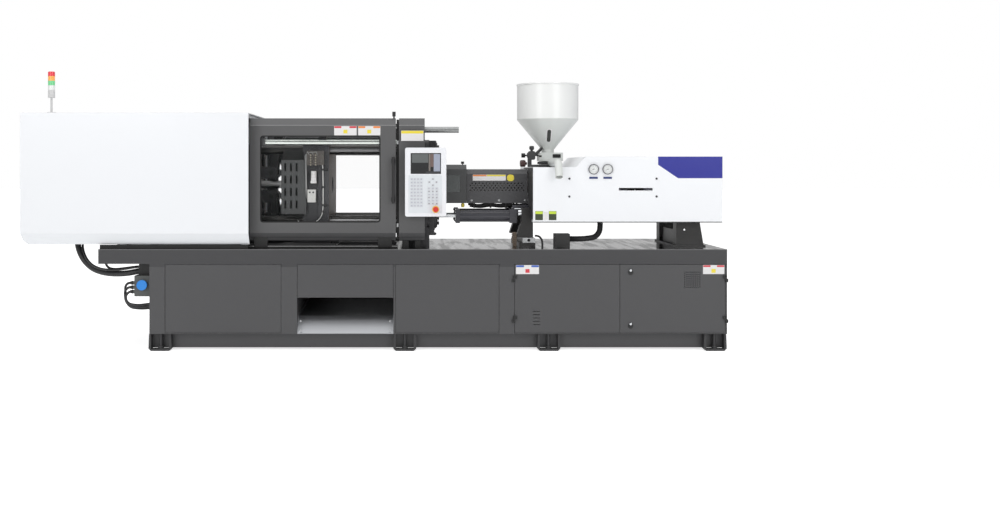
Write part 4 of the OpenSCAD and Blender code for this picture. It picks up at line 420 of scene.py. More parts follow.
def add_screw(bm, at, size):
    add_turned(bm, [(size, 0), (size, size * 0.16), (size * 0.86, size * 0.2)],
               at, FRONT, 20)
    add_turned(bm, [(size * 0.6, size * 0.1), (size * 0.58, size * 0.5),
                    (size * 0.42, size * 0.68), (size * 0.2, size * 0.72),
                    (size * 0.14, size * 0.5), (0, size * 0.46)], at, FRONT, 16)


apron_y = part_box("chute_tray")[0].y
bm = bmesh.new()
for across in (-0.532, 0.112):
    for up in (0.150, 0.218):
        add_screw(bm, (across, apron_y, up), 0.007)
make("apron_screws", bm, zinc, "machine")

# Levelling feet: cast shoes on rubber pads with threaded studs, which carry
# the bed and are turned to level it.
cast_black = sprayed("cast_black", (0.035, 0.035, 0.037), 0.5, wear=0.4, dust=0.25,
                     peel=0.35, tone=0.12)
finish(cast_black, "levelling_feet")

# Electrical doors: sprayed steel leaves on lift-off hinges. Each has a blank
# laminated plate with colour fields. The locks are quarter turns with chromed
# barrels in black rings.
chrome = ground("chrome", (0.72, 0.74, 0.76), 0.12, (40, 40, 40), contrast=0.06,
                spread=0.05, dust=0.0)


def moulded(name, colour, rough, peel, tone, dust=0.1, edge=0.0004, grade=None):
    """Plastic or rubber, coloured all through, so its edges show no wear."""
    return sprayed(name, colour, rough, wear=0.0, dust=dust, peel=peel, tone=tone,
                   edge=edge, grade=grade)


def foil(name, colour):
    """Printed plastic film, glossy and faintly uneven."""
    return moulded(name, colour, 0.28, 0.03, 0.03, dust=0.0)


black_plastic = moulded("black_plastic", (0.018, 0.018, 0.019), 0.55, 0.25, 0.1,
                        dust=0.05, edge=0.0015)

foil_white = foil("foil_white", (0.74, 0.73, 0.73))
foil_red = foil("foil_red", (0.62, 0.05, 0.07))
foil_blue = foil("foil_blue", (0.05, 0.12, 0.45))
foil_yellow = foil("foil_yellow", (0.80, 0.66, 0.06))
PLATE_THICK = 0.0008


def add_rings(bm, rings, shut=False):
    """Joins each closed ring of points to the next one by faces. shut puts a
    face on both end rings."""
    rings = [[bm.verts.new(point) for point in ring] for ring in rings]
    for one, other in zip(rings, rings[1:]):
        for k in range(len(one)):
            n = (k + 1) % len(one)
            bm.faces.new((one[k], one[n], other[n], other[k]))
    if shut:
        bm.faces.new(list(reversed(rings[0])))
        bm.faces.new(rings[-1])


def add_outline(bm, outline, place, thickness):
    """Raises a flat outline of (across, up) pairs by a thickness. place maps
    (across, up, out) to the machine's frame."""
    add_rings(bm, [[place(a, u, out) for a, u in outline] for out in (0.0, thickness)],
              shut=True)


def rounded(left, right, low, high, radius, steps=5):
    """The outline of a rectangle with rounded corners."""
    radius = min(radius, (right - left) / 2.001, (high - low) / 2.001)
    points = []
    for across, up, start in ((right - radius, high - radius, 0),
                              (left + radius, high - radius, 90),
                              (left + radius, low + radius, 180),
                              (right - radius, low + radius, 270)):
        for k in range(steps + 1):
            angle = math.radians(start + 90 * k / steps)
            points.append((across + radius * math.cos(angle),
                           up + radius * math.sin(angle)))
    return points


def facing_front(face_y):
    """Maps (across, up, out) onto an upright face that looks to the front."""
    return lambda across, up, out: Vector((across, face_y - out, up))


def colour_faces(bm, first, number):
    """Gives the faces made since the first one a material of the piece."""
    bm.faces.ensure_lookup_table()
    for face in bm.faces[first:]:
        face.material_index = number


def colour_plate(name, sides, face_y, base, fields, body, corner=0.002):
    """A blank plate on a front face. sides are its left, right, low and high;
    fields are the same in parts of the plate, each with a material."""
    bm = bmesh.new()
    left, right, low, high = sides
    width, height = right - left, high - low
    for number, ((a0, a1, u0, u1), _) in enumerate([((0, 1, 0, 1), base)] + fields):
        inset, depth, start = 0.0, PLATE_THICK, face_y
        if number:
            inset, depth, start = 0.0015, 0.0003, face_y - PLATE_THICK
        first = len(bm.faces)
        add_outline(bm, rounded(left + a0 * width + inset, left + a1 * width - inset,
                                low + u0 * height + inset, low + u1 * height - inset,
                                corner, 3), facing_front(start), depth)
        colour_faces(bm, first, number)
    make(name, bm, [base] + [m for _, m in fields], body)


def marked_plate(name, sides, face_y, corners, dot, layout, body):
    """A white plate with two coloured upper corners and a dot. corners and dot
    are materials. layout is where the left corner ends, where the right one
    starts, their low edge, and the sides of the dot."""
    ends, starts, edge, area = layout
    colour_plate(name, sides, face_y, foil_white, [
        ((0.0, ends, edge, 1.0), corners), ((starts, 1.0, edge, 1.0), corners),
        (area, dot)], body)


marked_plate("left_door_plate", (1.021, 1.187, 0.557, 0.622), BED_FRONT, foil_blue,
             foil_red, (0.36, 0.66, 0.74, (0.40, 0.60, 0.12, 0.58)), "left_door")
marked_plate("right_door_plate", (2.370, 2.524, 0.557, 0.622), BED_FRONT, foil_red,
             foil_yellow, (0.36, 0.64, 0.76, (0.38, 0.60, 0.12, 0.60)), "right_door")


def turned(name, profile, places, axis, steps, material, body, soften=0.0):
    """A scene piece of like turned parts, one at each place."""
    bm = bmesh.new()
    for at in places:
        add_turned(bm, profile, at, axis, steps)
    make(name, bm, material, body, soften)


LOCK_X = 1.847
turned("lock_rings", [(0.0195, 0), (0.0195, 0.002), (0.017, 0.0035), (0.0135, 0.0035)],
       [(LOCK_X, BED_FRONT, height) for height in (0.183, 0.569)], FRONT, 32,
       black_plastic, "right_door")
for place in ("upper", "lower"):
    finish(black_plastic, "door_lock_" + place)
    low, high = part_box("door_lock_" + place)
    turned(f"door_lock_{place}_barrel", [
        (0.0085, 0), (0.0085, 0.0012), (0.0072, 0.0022), (0.0030, 0.0022),
        (0.0030, 0.0010), (0, 0.0010)], [(LOCK_X, low.y + 0.0004, high.z - 0.0195)],
        FRONT, 32, chrome, "lock_" + place)


# Socket box and junction boxes: moulded and pressed boxes with the mains
# entry on the bed's left end, shut by a blue screw cap.
def blue_cap(tree, painted):
    capped = mix_colour(tree, below(tree, "Y", -0.5405), painted, (0.02, 0.22, 0.66))
    return mix_colour(tree, above(tree, "Z", 0.5412), capped, (0.016, 0.016, 0.016))


finish(moulded("box_plastic", (0.085, 0.09, 0.085), 0.45, 0.2, 0.1, edge=0.002,
               grade=blue_cap), "junction_boxes")

# Hoses at the left end: an oil hose, a water hose and a lead from above, and
# three cables that loop from the socket box into the bed, through tapered rubber
# boots. Each row has a hose's width, stiffness, length and route.
hose_rubber = moulded("hose_rubber", (0.022, 0.022, 0.023), 0.42, 0.3, 0.25, dust=0.12)


def add_tube(bm, route, width, steps=12, span_steps=6):
    """A round tube of a given width on a smooth line through the route. It gives
    back the points of that line."""
    points = [Vector(p) for p in route]
    line = []
    for k in range(len(points) - 1):
        p0 = points[max(k - 1, 0)]
        p1, p2 = points[k], points[k + 1]
        p3 = points[min(k + 2, len(points) - 1)]
        for s in range(span_steps):
            t = s / span_steps
            line.append(0.5 * (2 * p1 + (p2 - p0) * t
                               + (2 * p0 - 5 * p1 + 4 * p2 - p3) * t * t
                               + (3 * p1 - p0 - 3 * p2 + p3) * t ** 3))
    line.append(points[-1])
    side = None
    rings = []
    for k, point in enumerate(line):
        ahead = line[min(k + 1, len(line) - 1)] - line[max(k - 1, 0)]
        ahead.normalize()
        if side is None:
            helper = Vector((0, 0, 1)) if abs(ahead.z) < 0.9 else Vector((1, 0, 0))
            side = ahead.cross(helper).normalized()
        side = (side - ahead * side.dot(ahead)).normalized()
        other = ahead.cross(side)
        rings.append([point + width / 2 * (side * math.cos(2 * math.pi * s / steps)
                                           + other * math.sin(2 * math.pi * s / steps))
                      for s in range(steps)])
    add_rings(bm, rings, shut=True)
    return line


LEAD_WIDTH = 0.017
CABLE_WIDTH = 0.018
left_hoses = {
    "oil_hose": (0.043, "stiff", 0.665, [
        (-2.228, -0.300, 0.800), (-2.227, -0.302, 0.770), (-2.222, -0.306, 0.735),
        (-2.205, -0.315, 0.690), (-2.178, -0.325, 0.645), (-2.140, -0.338, 0.605),
        (-2.090, -0.356, 0.573), (-2.021, -0.380, 0.552), (-1.949, -0.402, 0.544),
        (-1.880, -0.416, 0.544), (-1.820, -0.423, 0.549), (-1.775, -0.425, 0.557),
        (-1.745, -0.425, 0.5625), (-1.7264, -0.425, 0.5635)]),
    "water_hose": (LEAD_WIDTH, "medium", 0.622, [
        (-2.184, -0.312, 0.800), (-2.183, -0.322, 0.770), (-2.177, -0.342, 0.735),
        (-2.159, -0.370, 0.695), (-2.130, -0.402, 0.655), (-2.093, -0.430, 0.622),
        (-2.054, -0.448, 0.600), (-2.006, -0.457, 0.584), (-1.948, -0.460, 0.577),
        (-1.880, -0.460, 0.578), (-1.820, -0.459, 0.585), (-1.775, -0.457, 0.593),
        (-1.745, -0.456, 0.5965), (-1.7264, -0.456, 0.597)]),
    "beam_lead": (LEAD_WIDTH, "medium", 0.281, [(across, -0.430, up) for across, up in (
        (-1.980, 0.6296), (-1.979, 0.622), (-1.974, 0.608), (-1.965, 0.596),
        (-1.952, 0.587), (-1.935, 0.582), (-1.912, 0.580), (-1.880, 0.5815),
        (-1.840, 0.586), (-1.795, 0.592), (-1.755, 0.597), (-1.7264, 0.598))]),
    "lower_cable": (CABLE_WIDTH, "limp", 0.296, [
        (-1.7646, -0.485, 0.420), (-1.775, -0.485, 0.420), (-1.790, -0.487, 0.417),
        (-1.803, -0.490, 0.408), (-1.812, -0.493, 0.395), (-1.815, -0.496, 0.380),
        (-1.811, -0.499, 0.361), (-1.800, -0.502, 0.345), (-1.784, -0.504, 0.334),
        (-1.765, -0.505, 0.329), (-1.730, -0.503, 0.325), (-1.690, -0.497, 0.326),
        (-1.655, -0.490, 0.330), (-1.6234, -0.488, 0.332)]),
    "middle_cable": (CABLE_WIDTH, "limp", 0.359, [
        (-1.764, -0.485, 0.452), (-1.782, -0.485, 0.452), (-1.798, -0.484, 0.449),
        (-1.813, -0.481, 0.439), (-1.823, -0.478, 0.425), (-1.826, -0.476, 0.408),
        (-1.825, -0.475, 0.380), (-1.819, -0.475, 0.351), (-1.805, -0.475, 0.329),
        (-1.784, -0.474, 0.315), (-1.758, -0.473, 0.310), (-1.720, -0.472, 0.308),
        (-1.680, -0.471, 0.309), (-1.650, -0.470, 0.312), (-1.6234, -0.470, 0.314)]),
    "upper_cable": (CABLE_WIDTH, "limp", 0.414, [
        (-1.7638, -0.485, 0.484), (-1.782, -0.484, 0.484), (-1.799, -0.479, 0.481),
        (-1.815, -0.472, 0.471), (-1.825, -0.464, 0.456), (-1.829, -0.457, 0.438),
        (-1.829, -0.450, 0.400), (-1.827, -0.447, 0.365), (-1.821, -0.446, 0.338),
        (-1.806, -0.445, 0.315), (-1.784, -0.444, 0.300), (-1.757, -0.443, 0.294),
        (-1.715, -0.441, 0.291), (-1.680, -0.440, 0.292), (-1.650, -0.438, 0.294),
        (-1.6234, -0.438, 0.296)]),
}
for name, (width, stiffness, length, route) in left_hoses.items():
    bm = bmesh.new()
    line = add_tube(bm, route, width, 20)
    hose = make(name, bm, hose_rubber, "machine")
    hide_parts("left_hoses")
turned("cable_boots", [(0.0150, 0), (0.0150, 0.005), (0.0134, 0.007), (0.0124, 0.014),
                       (0.0112, 0.015), (0.0106, 0.021), (0.0096, 0.022)],
       [(-1.7642, -0.485, height) for height in (0.420, 0.452, 0.484)], (-1, 0, 0), 20,
       black_plastic, "machine")


# Clamp cover: sprayed white sheet in three skins on a frame. The skirt under
# the crease slants in and is a shade greyer.
def coloured_below(limit, colour):
    return lambda tree, painted: mix_colour(tree, below(tree, "Z", limit), painted,
                                            colour)


def cover_white(name, colour, rough, grade):
    return sprayed(name, colour, rough, wear=0.05, dust=0.03, peel=0.05,
                   bare=(0.5, 0.5, 0.5), tone=0.012, coat=0.15, grade=grade)


finish(cover_white("cover_white", (0.805, 0.82, 0.845), 0.36,
                   coloured_below(0.850, (0.765, 0.785, 0.81))), "clamp_cover")

# Cover sills: folded black strips along both edges of the deck, under the
# cover's skirt, which are painted shade for the dark gap there.
seal_rubber = moulded("seal_rubber", (0.012, 0.012, 0.012), 0.8, 0.3, 0.1, edge=0.0005)
bm = bmesh.new()
for side in (-1, 1):
    fold = [(0.5620, 0.0003), (0.5595, 0.0003), (0.5595, 0.0280), (0.5475, 0.0280),
            (0.5475, 0.0310), (0.5620, 0.0310)]
    add_outline(bm, fold, lambda aside, up, along: Vector(
        (-1.985 + along, side * aside, DECK_TOP + up)), 1.073)
make("painted_shade_sills", bm, seal_rubber, "machine", 0.0006)

# Signal lamp: a stack of clear coloured caps over light sources, red on top,
# on a light grey tube and a round base.
finish(sprayed("lamp_grey", (0.6, 0.6, 0.6), 0.4, wear=0.0, dust=0.05, peel=0.1),
       "lamp_post")
lens, tree, shader = blank_material("lamp_lens", 0.12, coat=0.6)
low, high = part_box("lamp_lenses")
portion = remap(tree, one_axis(tree, spot(tree), "Z"), start=low.z, end=high.z)
tiers = node(tree, "ValToRGB", {0: portion})
tiers.color_ramp.interpolation = "CONSTANT"
stack = [(0.72, 0.74, 0.72), (0.18, 0.62, 0.28), (0.90, 0.42, 0.10), (0.72, 0.04, 0.06)]
while len(tiers.color_ramp.elements) < len(stack):
    tiers.color_ramp.elements.new(0.5)
for number, colour in enumerate(stack):
    tiers.color_ramp.elements[number].position = number / len(stack)
    tiers.color_ramp.elements[number].color = (*colour, 1)
ribs = node(tree, "TexWave", {"Vector": spot(tree), "Scale": 70.0}, bands_direction="Z")
relief = node(tree, "Bump", {0: 0.35, "Distance": 0.001, "Height": ribs.outputs["Fac"]})
feed(tree, shader, {"Base Color": tiers.outputs[0], "Emission Color": tiers.outputs[0],
                    "Normal": relief.outputs[0], "Emission Strength": 0.12})
finish(lens, "lamp_lenses")

# Gates: folded steel frames on rollers, with one large clear sheet clamped
# in a rubber gasket. The front one carries a black grab bar and two plates.
foil_orange = foil("foil_orange", (0.80, 0.24, 0.05))
GATE_Y = 0.485
SHOE_Y = -0.469
FOLD_HEIGHT = 1.6335
WINDOW = (-0.836, 0.039, 0.926, 1.557)


def between(tree, axis, low, high):
    return multiply(tree, above(tree, axis, low), below(tree, axis, high))


def gate_bands(tree, painted):
    """Painted shade below the lower crease, where the sheet slants, and black
    painted shade on the underside; black shoes; and a painted highlight along
    the upper fold."""
    lower = coloured_below(0.848, (0.080, 0.080, 0.083))(tree, painted)
    shoes = multiply(tree, between(tree, "Y", SHOE_Y - 0.0008, SHOE_Y + 0.0008),
                     below(tree, "Z", 0.83))
    shod = mix_colour(tree, shoes, lower, (0.012, 0.012, 0.012))
    under = coloured_below(0.792, (0.010, 0.010, 0.010))(tree, shod)
    fold = between(tree, "Z", FOLD_HEIGHT - 0.0018, FOLD_HEIGHT + 0.0018)
    return mix_colour(tree, fold, under, (0.24, 0.24, 0.24))


gate_paint = sprayed("gate_paint", (0.092, 0.092, 0.094), grade=gate_bands)
finish(gate_paint, "front_gate", "rear_gate")
finish(black_plastic, "front_gate_handle")


def clear_sheet(name, colour, cover, rough):
    material, tree, shader = blank_material(name, rough, specular=0.9)
    smears = remap(tree, noise(tree, 3.0, 6.0), cover * 0.7, cover * 1.4)
    feed(tree, shader, {"Base Color": colour, "Alpha": smears})
    return material


finish(clear_sheet("window_sheet", (0.30, 0.34, 0.34), 0.010, 0.03),
       "front_gate_window", "rear_gate_window")


def add_rim(bm, sides, steps, place, *turns):
    """A thin moulded frame round sides. Each turn of its section is how far it
    lies outside them, its corners' radius and its height for place."""
    left, right, low, high = sides
    add_rings(bm, [[place(a, u, out) for a, u in rounded(
        left - wide, right + wide, low - wide, high + wide, radius, steps)]
        for wide, radius, out in turns])


for side, body in ((-1, "front_gate"), (1, "rear_gate")):
    bm = bmesh.new()
    add_rim(bm, WINDOW, 8, lambda a, u, depth: (a, side * (GATE_Y - depth), u),
            (-0.007, 0.016, 0.004), (-0.007, 0.016, 0.0002), (0.002, 0.024, -0.0006),
            (0.002, 0.024, 0.004))
    make(body + "_gasket", bm, seal_rubber, body)
for name, left, right, corners in (("red", -0.297, -0.133, foil_red),
                                   ("orange", -0.122, 0.040, foil_orange)):
    marked_plate("gate_plate_" + name, (left, right, 1.5605, 1.628), -GATE_Y, corners,
                 foil_yellow, (0.33, 0.67, 0.76, (0.40, 0.60, 0.18, 0.62)),
                 "front_gate")


# Gap strip: a black strip down the front gate's closing edge, fixed to the side
# cover, that is painted shade for the gap there, with two small zinc catches that the
# gate meets.
def add_block(bm, low, high):
    size = Vector(high) - Vector(low)
    middle = (Vector(high) + Vector(low)) / 2
    place = Matrix.Translation(middle) @ Matrix.Diagonal((*size, 1))
    bmesh.ops.create_cube(bm, size=1.0, matrix=place)


def front_pad(name, sides, radius, face_y, depth, material, body, soften=0.0):
    """A flat piece with rounded corners on a face that looks to the front."""
    bm = bmesh.new()
    add_outline(bm, rounded(*sides, radius, 3), facing_front(face_y), depth)
    make(name, bm, material, body, soften)


front_pad("gap_shade_strip", (0.1580, 0.1757, 0.800, 1.676), 0.003, -0.456, 0.014,
          seal_rubber, "machine")
bm = bmesh.new()
for height in (1.509, 0.904):
    add_block(bm, (0.1590, -0.4745, height - 0.013), (0.1725, -0.4700, height + 0.013))
    add_screw(bm, (0.1660, -0.4745, height), 0.005)
make("gate_catches", bm, zinc, "machine", 0.001)


# Gate rails and rods: ground steel that the gates' rollers run on. The lower
# rails are painted dark as shade in the gap under the gates, all but a lighter
# grey line along them.
def tint_metal(material, mask, colour):
    """Lays a colour over part of a bare metal."""
    tree = material.node_tree
    shader = tree.nodes["Principled BSDF"]
    before = shader.inputs["Base Color"].links[0].from_socket
    feed(tree, shader, {"Base Color": mix_colour(tree, mask, before, colour)})


rail_steel = ground("rail_steel", (0.93, 0.99, 0.93), 0.24, (4, 300, 300))
tree = rail_steel.node_tree
tint_metal(rail_steel, below(tree, "Z", 0.90), (0.045, 0.045, 0.045))
tint_metal(rail_steel, between(tree, "Z", 0.7445, 0.7525), (0.30, 0.30, 0.30))
finish(rail_steel, "gate_rails")


# Platens: cast iron, painted on the sides and ground on the mould faces,
# with a thin brown film of rust-proofing oil there.
def machined_ends(colour):
    """Bare metal on the faces that look along the machine."""
    def grade(tree, painted):
        flat = reckon(tree, "ABSOLUTE", normal_along(tree, "X"))
        return mix_colour(tree, reckon(tree, "GREATER_THAN", flat, 0.97), painted,
                          colour)
    return grade


finish(sprayed("platen_iron", (0.042, 0.042, 0.046), 0.5, wear=0.5, dust=0.2, peel=0.4,
               tone=0.2, grade=machined_ends((0.085, 0.062, 0.05))),
       "stationary_platen", "moving_platen", "rear_platen")

# Tie bars: dark ground steel. Each carries a painted highlight along most of its
# front, where a lamp in front would glint on it; at the left end the bars stay
# dark as painted shade.
tie_steel = ground("tie_steel", (0.06, 0.058, 0.056), 0.34, (2, 200, 200), spread=0.2,
                   contrast=0.4, dust=0.25)
tree = tie_steel.node_tree
for low, high, painted_highlight in ((1.444, 1.470, (0.22, 0.22, 0.225)),
                         (0.921, 0.937, (0.90, 0.90, 0.91))):
    tint_metal(tie_steel, multiply(tree, between(tree, "Z", low, high),
                                   above(tree, "X", -0.36)), painted_highlight)
finish(tie_steel, "tie_bars")
finish(chrome, "sled_rods", "carriage_guides")
machined = ground("machined", (0.4, 0.4, 0.4), 0.36, (60, 60, 60), spread=0.2)
finish(machined, "mould_height_nuts", "ejector", "thrust_housing", "screw", "crosshead")


# Keepers: black clamp plates that lock the tie bars' nuts to the fixed platen,
# with a flange above and below each.
def add_hex_bolt(bm, at, size):
    """A hexagon-head bolt on its washer, along the machine."""
    add_turned(bm, [(size, 0), (size, size * 0.2), (size * 0.9, size * 0.24)],
               at, (1, 0, 0), 24)
    add_turned(bm, [(size * 0.8, size * 0.2), (size * 0.8, size * 0.66),
                    (size * 0.68, size * 0.76), (0, size * 0.76)], at, (1, 0, 0), 6)


bm = bmesh.new()
for low, high in ((1.404, 1.517), (0.831, 0.945)):
    for near in (-0.334, 0.262):
        add_block(bm, (0.400, near, low), (0.437, near + 0.072, high))
        for edge in (low, high):
            add_block(bm, (0.400, near - 0.004, edge - 0.009),
                      (0.447, near + 0.076, edge + 0.009))
            for aside in (0.018, 0.054):
                add_hex_bolt(bm, (0.447, near + aside, edge), 0.008)
make("nut_keepers", bm, cast_black, "machine", 0.003)
finish(cast_black, "tie_bar_nuts")

# Toggle: cast steel links in dark paint, darkened further as painted shade for
# the covered inside of the clamp, and machined bare at their ends. They turn
# on ground pins and carry a film of grease.
finish(sprayed("link_iron", (0.022, 0.022, 0.023), 0.5, wear=0.6, dust=0.1, peel=0.35,
               tone=0.2, grade=machined_ends((0.06, 0.06, 0.06))), "clamp_cylinder",
       *[f"{link}_link_{place}" for link in ("rear", "front", "drive")
         for place in ("upper", "lower")])

# Side covers: folded steel boxes in the gates' paint, fixed beside the fixed
# platen. The control panel hangs on the front one.
SIDE_COVER_Y = -0.5035
finish(gate_paint, "side_covers")
colour_plate("cover_plate_yellow", (0.192, 0.355, 1.519, 1.594), SIDE_COVER_Y,
             foil_white, [((0.0, 1.0, 0.70, 1.0), foil_yellow)], "machine")

# Safety bar: a galvanised tube that drops a stop into the moving platen's
# path when the gate is open.
finish(ground("galvanised", (0.42, 0.43, 0.43), 0.34, (8, 60, 60), spread=0.2,
              contrast=0.4), "safety_bar")

# Guard on the moving platen: perforated steel sheet, sprayed dark grey and
# fixed to the platen's front. A black sheet behind it is painted shade for the dark
# behind its slots.
finish(sprayed("guard_paint", (0.055, 0.057, 0.058), 0.45), "platen_guard")
bm = bmesh.new()
add_block(bm, (-0.688, -0.3266, 1.004), (-0.524, -0.3246, 1.468))
make("guard_shade_sheet", bm, seal_rubber, "moving_platen")

# Services on the moving platen: a dark plated manifold over a pale terminal
# box, with brass push-in fittings on the manifold.
finish(sprayed("manifold_metal", (0.105, 0.095, 0.085), 0.36, wear=0.2, dust=0.15,
               peel=0.2, tone=0.1, grade=coloured_below(1.32, (0.60, 0.60, 0.58))),
       "service_manifold")
manifold_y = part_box("service_manifold")[0].y
turned("push_fittings", [(0.0058, 0), (0.0058, 0.006), (0.0045, 0.008), (0.0045, 0.013),
                         (0.002, 0.014), (0, 0.014)],
       [(-0.474 + 0.036 * column, manifold_y + 0.004, 1.345 + 0.018 * row)
        for column in range(2) for row in range(5)], FRONT, 14,
       ground("plated_brass", (0.46, 0.42, 0.34), 0.34, (70, 70, 70), spread=0.2),
       "moving_platen")

# Cables on the moving platen: a white sheathed lead that leaves the manifold,
# drops along the platen's edge and turns under the guard, with thin air lines.
PLATEN_Y = -0.355
lead_y = PLATEN_Y - 0.014
bm = bmesh.new()
add_tube(bm, [(-0.430, lead_y - 0.028, 1.372), (-0.412, lead_y - 0.022, 1.366),
              (-0.396, lead_y - 0.008, 1.350), (-0.390, lead_y, 1.320),
              (-0.388, lead_y, 1.200), (-0.388, lead_y, 1.080),
              (-0.392, lead_y, 1.000), (-0.408, lead_y, 0.955),
              (-0.440, lead_y, 0.925), (-0.490, lead_y, 0.912),
              (-0.540, lead_y, 0.918), (-0.575, lead_y, 0.928)], 0.007)
make("white_lead", bm, moulded("white_lead", (0.72, 0.72, 0.70), 0.4, 0.1, 0.08),
     "moving_platen")
bm = bmesh.new()
for k in range(3):
    start = -0.487 + k * 0.030
    add_tube(bm, [(start, manifold_y + 0.002, 1.420),
                  (start - 0.002, manifold_y - 0.0005, 1.428),
                  (start - 0.012, manifold_y + 0.006, 1.440),
                  (-0.507 - 0.004 * k, lead_y - 0.010, 1.420),
                  (-0.512 - 0.003 * k, lead_y - 0.004, 1.360),
                  (-0.510 - 0.003 * k, lead_y - 0.004, 1.250),
                  (-0.508 - 0.003 * k, lead_y - 0.004, 1.160 - 0.02 * k),
                  (-0.500, lead_y + 0.006, 1.130 - 0.02 * k)], 0.0045, 10)
make("air_lines", bm, moulded("thin_line", (0.30, 0.30, 0.30), 0.35, 0.05, 0.1),
     "moving_platen")
bm = bmesh.new()
for height in (1.310, 1.047):
    add_block(bm, (-0.400, lead_y - 0.007, height - 0.007),
              (-0.366, PLATEN_Y, height + 0.007))
    add_turned(bm, [(0.010, 0), (0.010, 0.012), (0.002, 0.030), (0, 0.030)],
               (-0.378, PLATEN_Y - 0.006, height), (1, 0, 0), 4)
for across, height in ((-0.388, 1.180), (-0.388, 1.000), (-0.470, 0.9145)):
    add_block(bm, (across - 0.006, lead_y - 0.006, height - 0.008),
              (across + 0.006, PLATEN_Y, height + 0.008))
make("lead_clamps", bm, black_plastic, "moving_platen", 0.0015)

# White plug: a moulded connector with a ribbed collar, over the terminal box's
# two black glands.
bm = bmesh.new()
for low, high, half in ((1.212, 1.226, 0.0225), (1.228, 1.252, 0.017),
                        (1.254, 1.272, 0.0135), (1.274, 1.296, 0.010)):
    add_outline(bm, rounded(-0.4565 - half, -0.4565 + half, low, high, 0.004, 3),
                facing_front(PLATEN_Y - 0.034), 0.012)
make("platen_plug", bm, foil_white, "moving_platen", 0.0015)
turned("terminal_glands", [(0.0065, 0), (0.0065, 0.003), (0.004, 0.0045), (0, 0.0045)],
       [(across, PLATEN_Y - 0.030, 1.142) for across in (-0.484, -0.460)], FRONT, 20,
       black_plastic, "moving_platen")


# Control panel: a light pressed shell with a dark backing plate behind its
# edge, a glass screen set flush, and a membrane keypad in a shallow tray.
def dark_backing(tree, painted):
    return mix_colour(tree, above(tree, "Y", -0.553), painted, (0.02, 0.02, 0.021))


finish(sprayed("panel_paint", (0.80, 0.81, 0.84), 0.34, wear=0.05, dust=0.02, peel=0.06,
               bare=(0.4, 0.4, 0.4), tone=0.015, grade=dark_backing), "control_panel")
finish(moulded("key_grey", (0.60, 0.61, 0.64), 0.4, 0.15, 0.05, dust=0.0, edge=0.001),
       "panel_keys")

PANEL_FACE = -0.5635
SCREEN = (0.2615, 0.4805, 1.2795, 1.4295)
SCREEN_THICK = 0.0035
glass, tree, shader = blank_material("screen_glass", 0.06, coat=0.8)


def screen_band(axis, start, end, soft):
    """A soft-edged band across the screen, as a mask."""
    along = one_axis(tree, spot(tree), axis)
    return multiply(tree, remap(tree, along, start=start - soft, end=start + soft),
                    remap(tree, along, start=end + soft, end=end - soft))


picture = (0.008, 0.009, 0.010)
for (left, right), (low, high), colour, soft in (
        ((0.20, 0.4812), (1.27, 1.44), (0.012, 0.013, 0.014), 0.002),
        ((0.270, 0.388), (1.360, 1.425), (0.12, 0.13, 0.13), 0.0025),
        ((0.392, 0.404), (1.300, 1.425), (0.19, 0.165, 0.15), 0.002),
        ((0.404, 0.428), (1.330, 1.425), (0.16, 0.11, 0.10), 0.003),
        ((0.428, 0.476), (1.298, 1.425), (0.34, 0.37, 0.46), 0.002),
        ((0.370, 0.476), (1.286, 1.296), (0.05, 0.05, 0.055), 0.002)):
    mask = multiply(tree, screen_band("X", left, right, soft),
                    screen_band("Z", low, high, soft))
    picture = mix_colour(tree, mask, picture, colour)
feed(tree, shader, {"Base Color": picture, "Coat Roughness": 0.03})
front_pad("panel_screen", SCREEN, 0.003, PANEL_FACE + SCREEN_THICK, SCREEN_THICK,
          glass, "panel", 0.0006)
bm = bmesh.new()
add_rim(bm, SCREEN, 3, facing_front(PANEL_FACE + 0.0001), (0.0, 0.003, 0.0),
        (0.0, 0.003, 0.0014), (-0.006, 0.002, 0.0008), (-0.006, 0.002, 0.0))
make("screen_rim", bm, black_plastic, "panel")

FILM_THICK = 0.0004
front_pad("keypad_film", (0.2465, 0.4875, 0.9975, 1.2685), 0.004, PANEL_FACE,
          FILM_THICK, foil("keypad_film", (0.70, 0.73, 0.76)), "panel")

# Key caps' marks: a small raised field on every key, dark on the arrow keys
# and every second number key, and grey-blue on the others.
mark_dark = foil("mark_dark", (0.16, 0.16, 0.18))
mark_blue = foil("mark_blue", (0.30, 0.33, 0.46))
marks = [(0.023 + column * 0.023, 0.052 + row * 0.024, 1)
         for column in range(4) for row in range(9)]
marks += [(0.148 + column * 0.028, 0.0675 + row * 0.022, row % 2)
          for column in range(3) for row in range(6)]
marks += [(0.176, 0.245, 0), (0.150, 0.223, 0), (0.202, 0.223, 0), (0.176, 0.201, 0)]
KEY_TOP = PANEL_FACE - 0.003
bm = bmesh.new()
for across, up, kind in marks:
    first = len(bm.faces)
    across, up = across + 0.246, up + 0.997
    wide, tall = (0.0028, 0.0022) if kind else (0.0034, 0.0034)
    add_outline(bm, rounded(across - wide, across + wide, up - tall, up + tall, 0.0012,
                            2), facing_front(KEY_TOP), 0.0002)
    colour_faces(bm, first, kind)
make("key_marks", bm, [mark_dark, mark_blue], "panel")

# Stop button: a moulded red mushroom head over a pale yellow collar, in the
# keypad's lower right corner.
finish(sprayed("stop_red", (0.62, 0.025, 0.02), 0.24, wear=0.0, dust=0.0, peel=0.04,
               tone=0.05, coat=0.5, edge=0.003), "stop_button")
turned("stop_collar", [(0.026, 0), (0.026, 0.0016), (0.0245, 0.0022), (0.0125, 0.0022),
                       (0.0125, 0)], [(0.442, PANEL_FACE - FILM_THICK, 1.023)], FRONT,
       40, foil("collar_yellow", (0.85, 0.50, 0.08)), "panel")

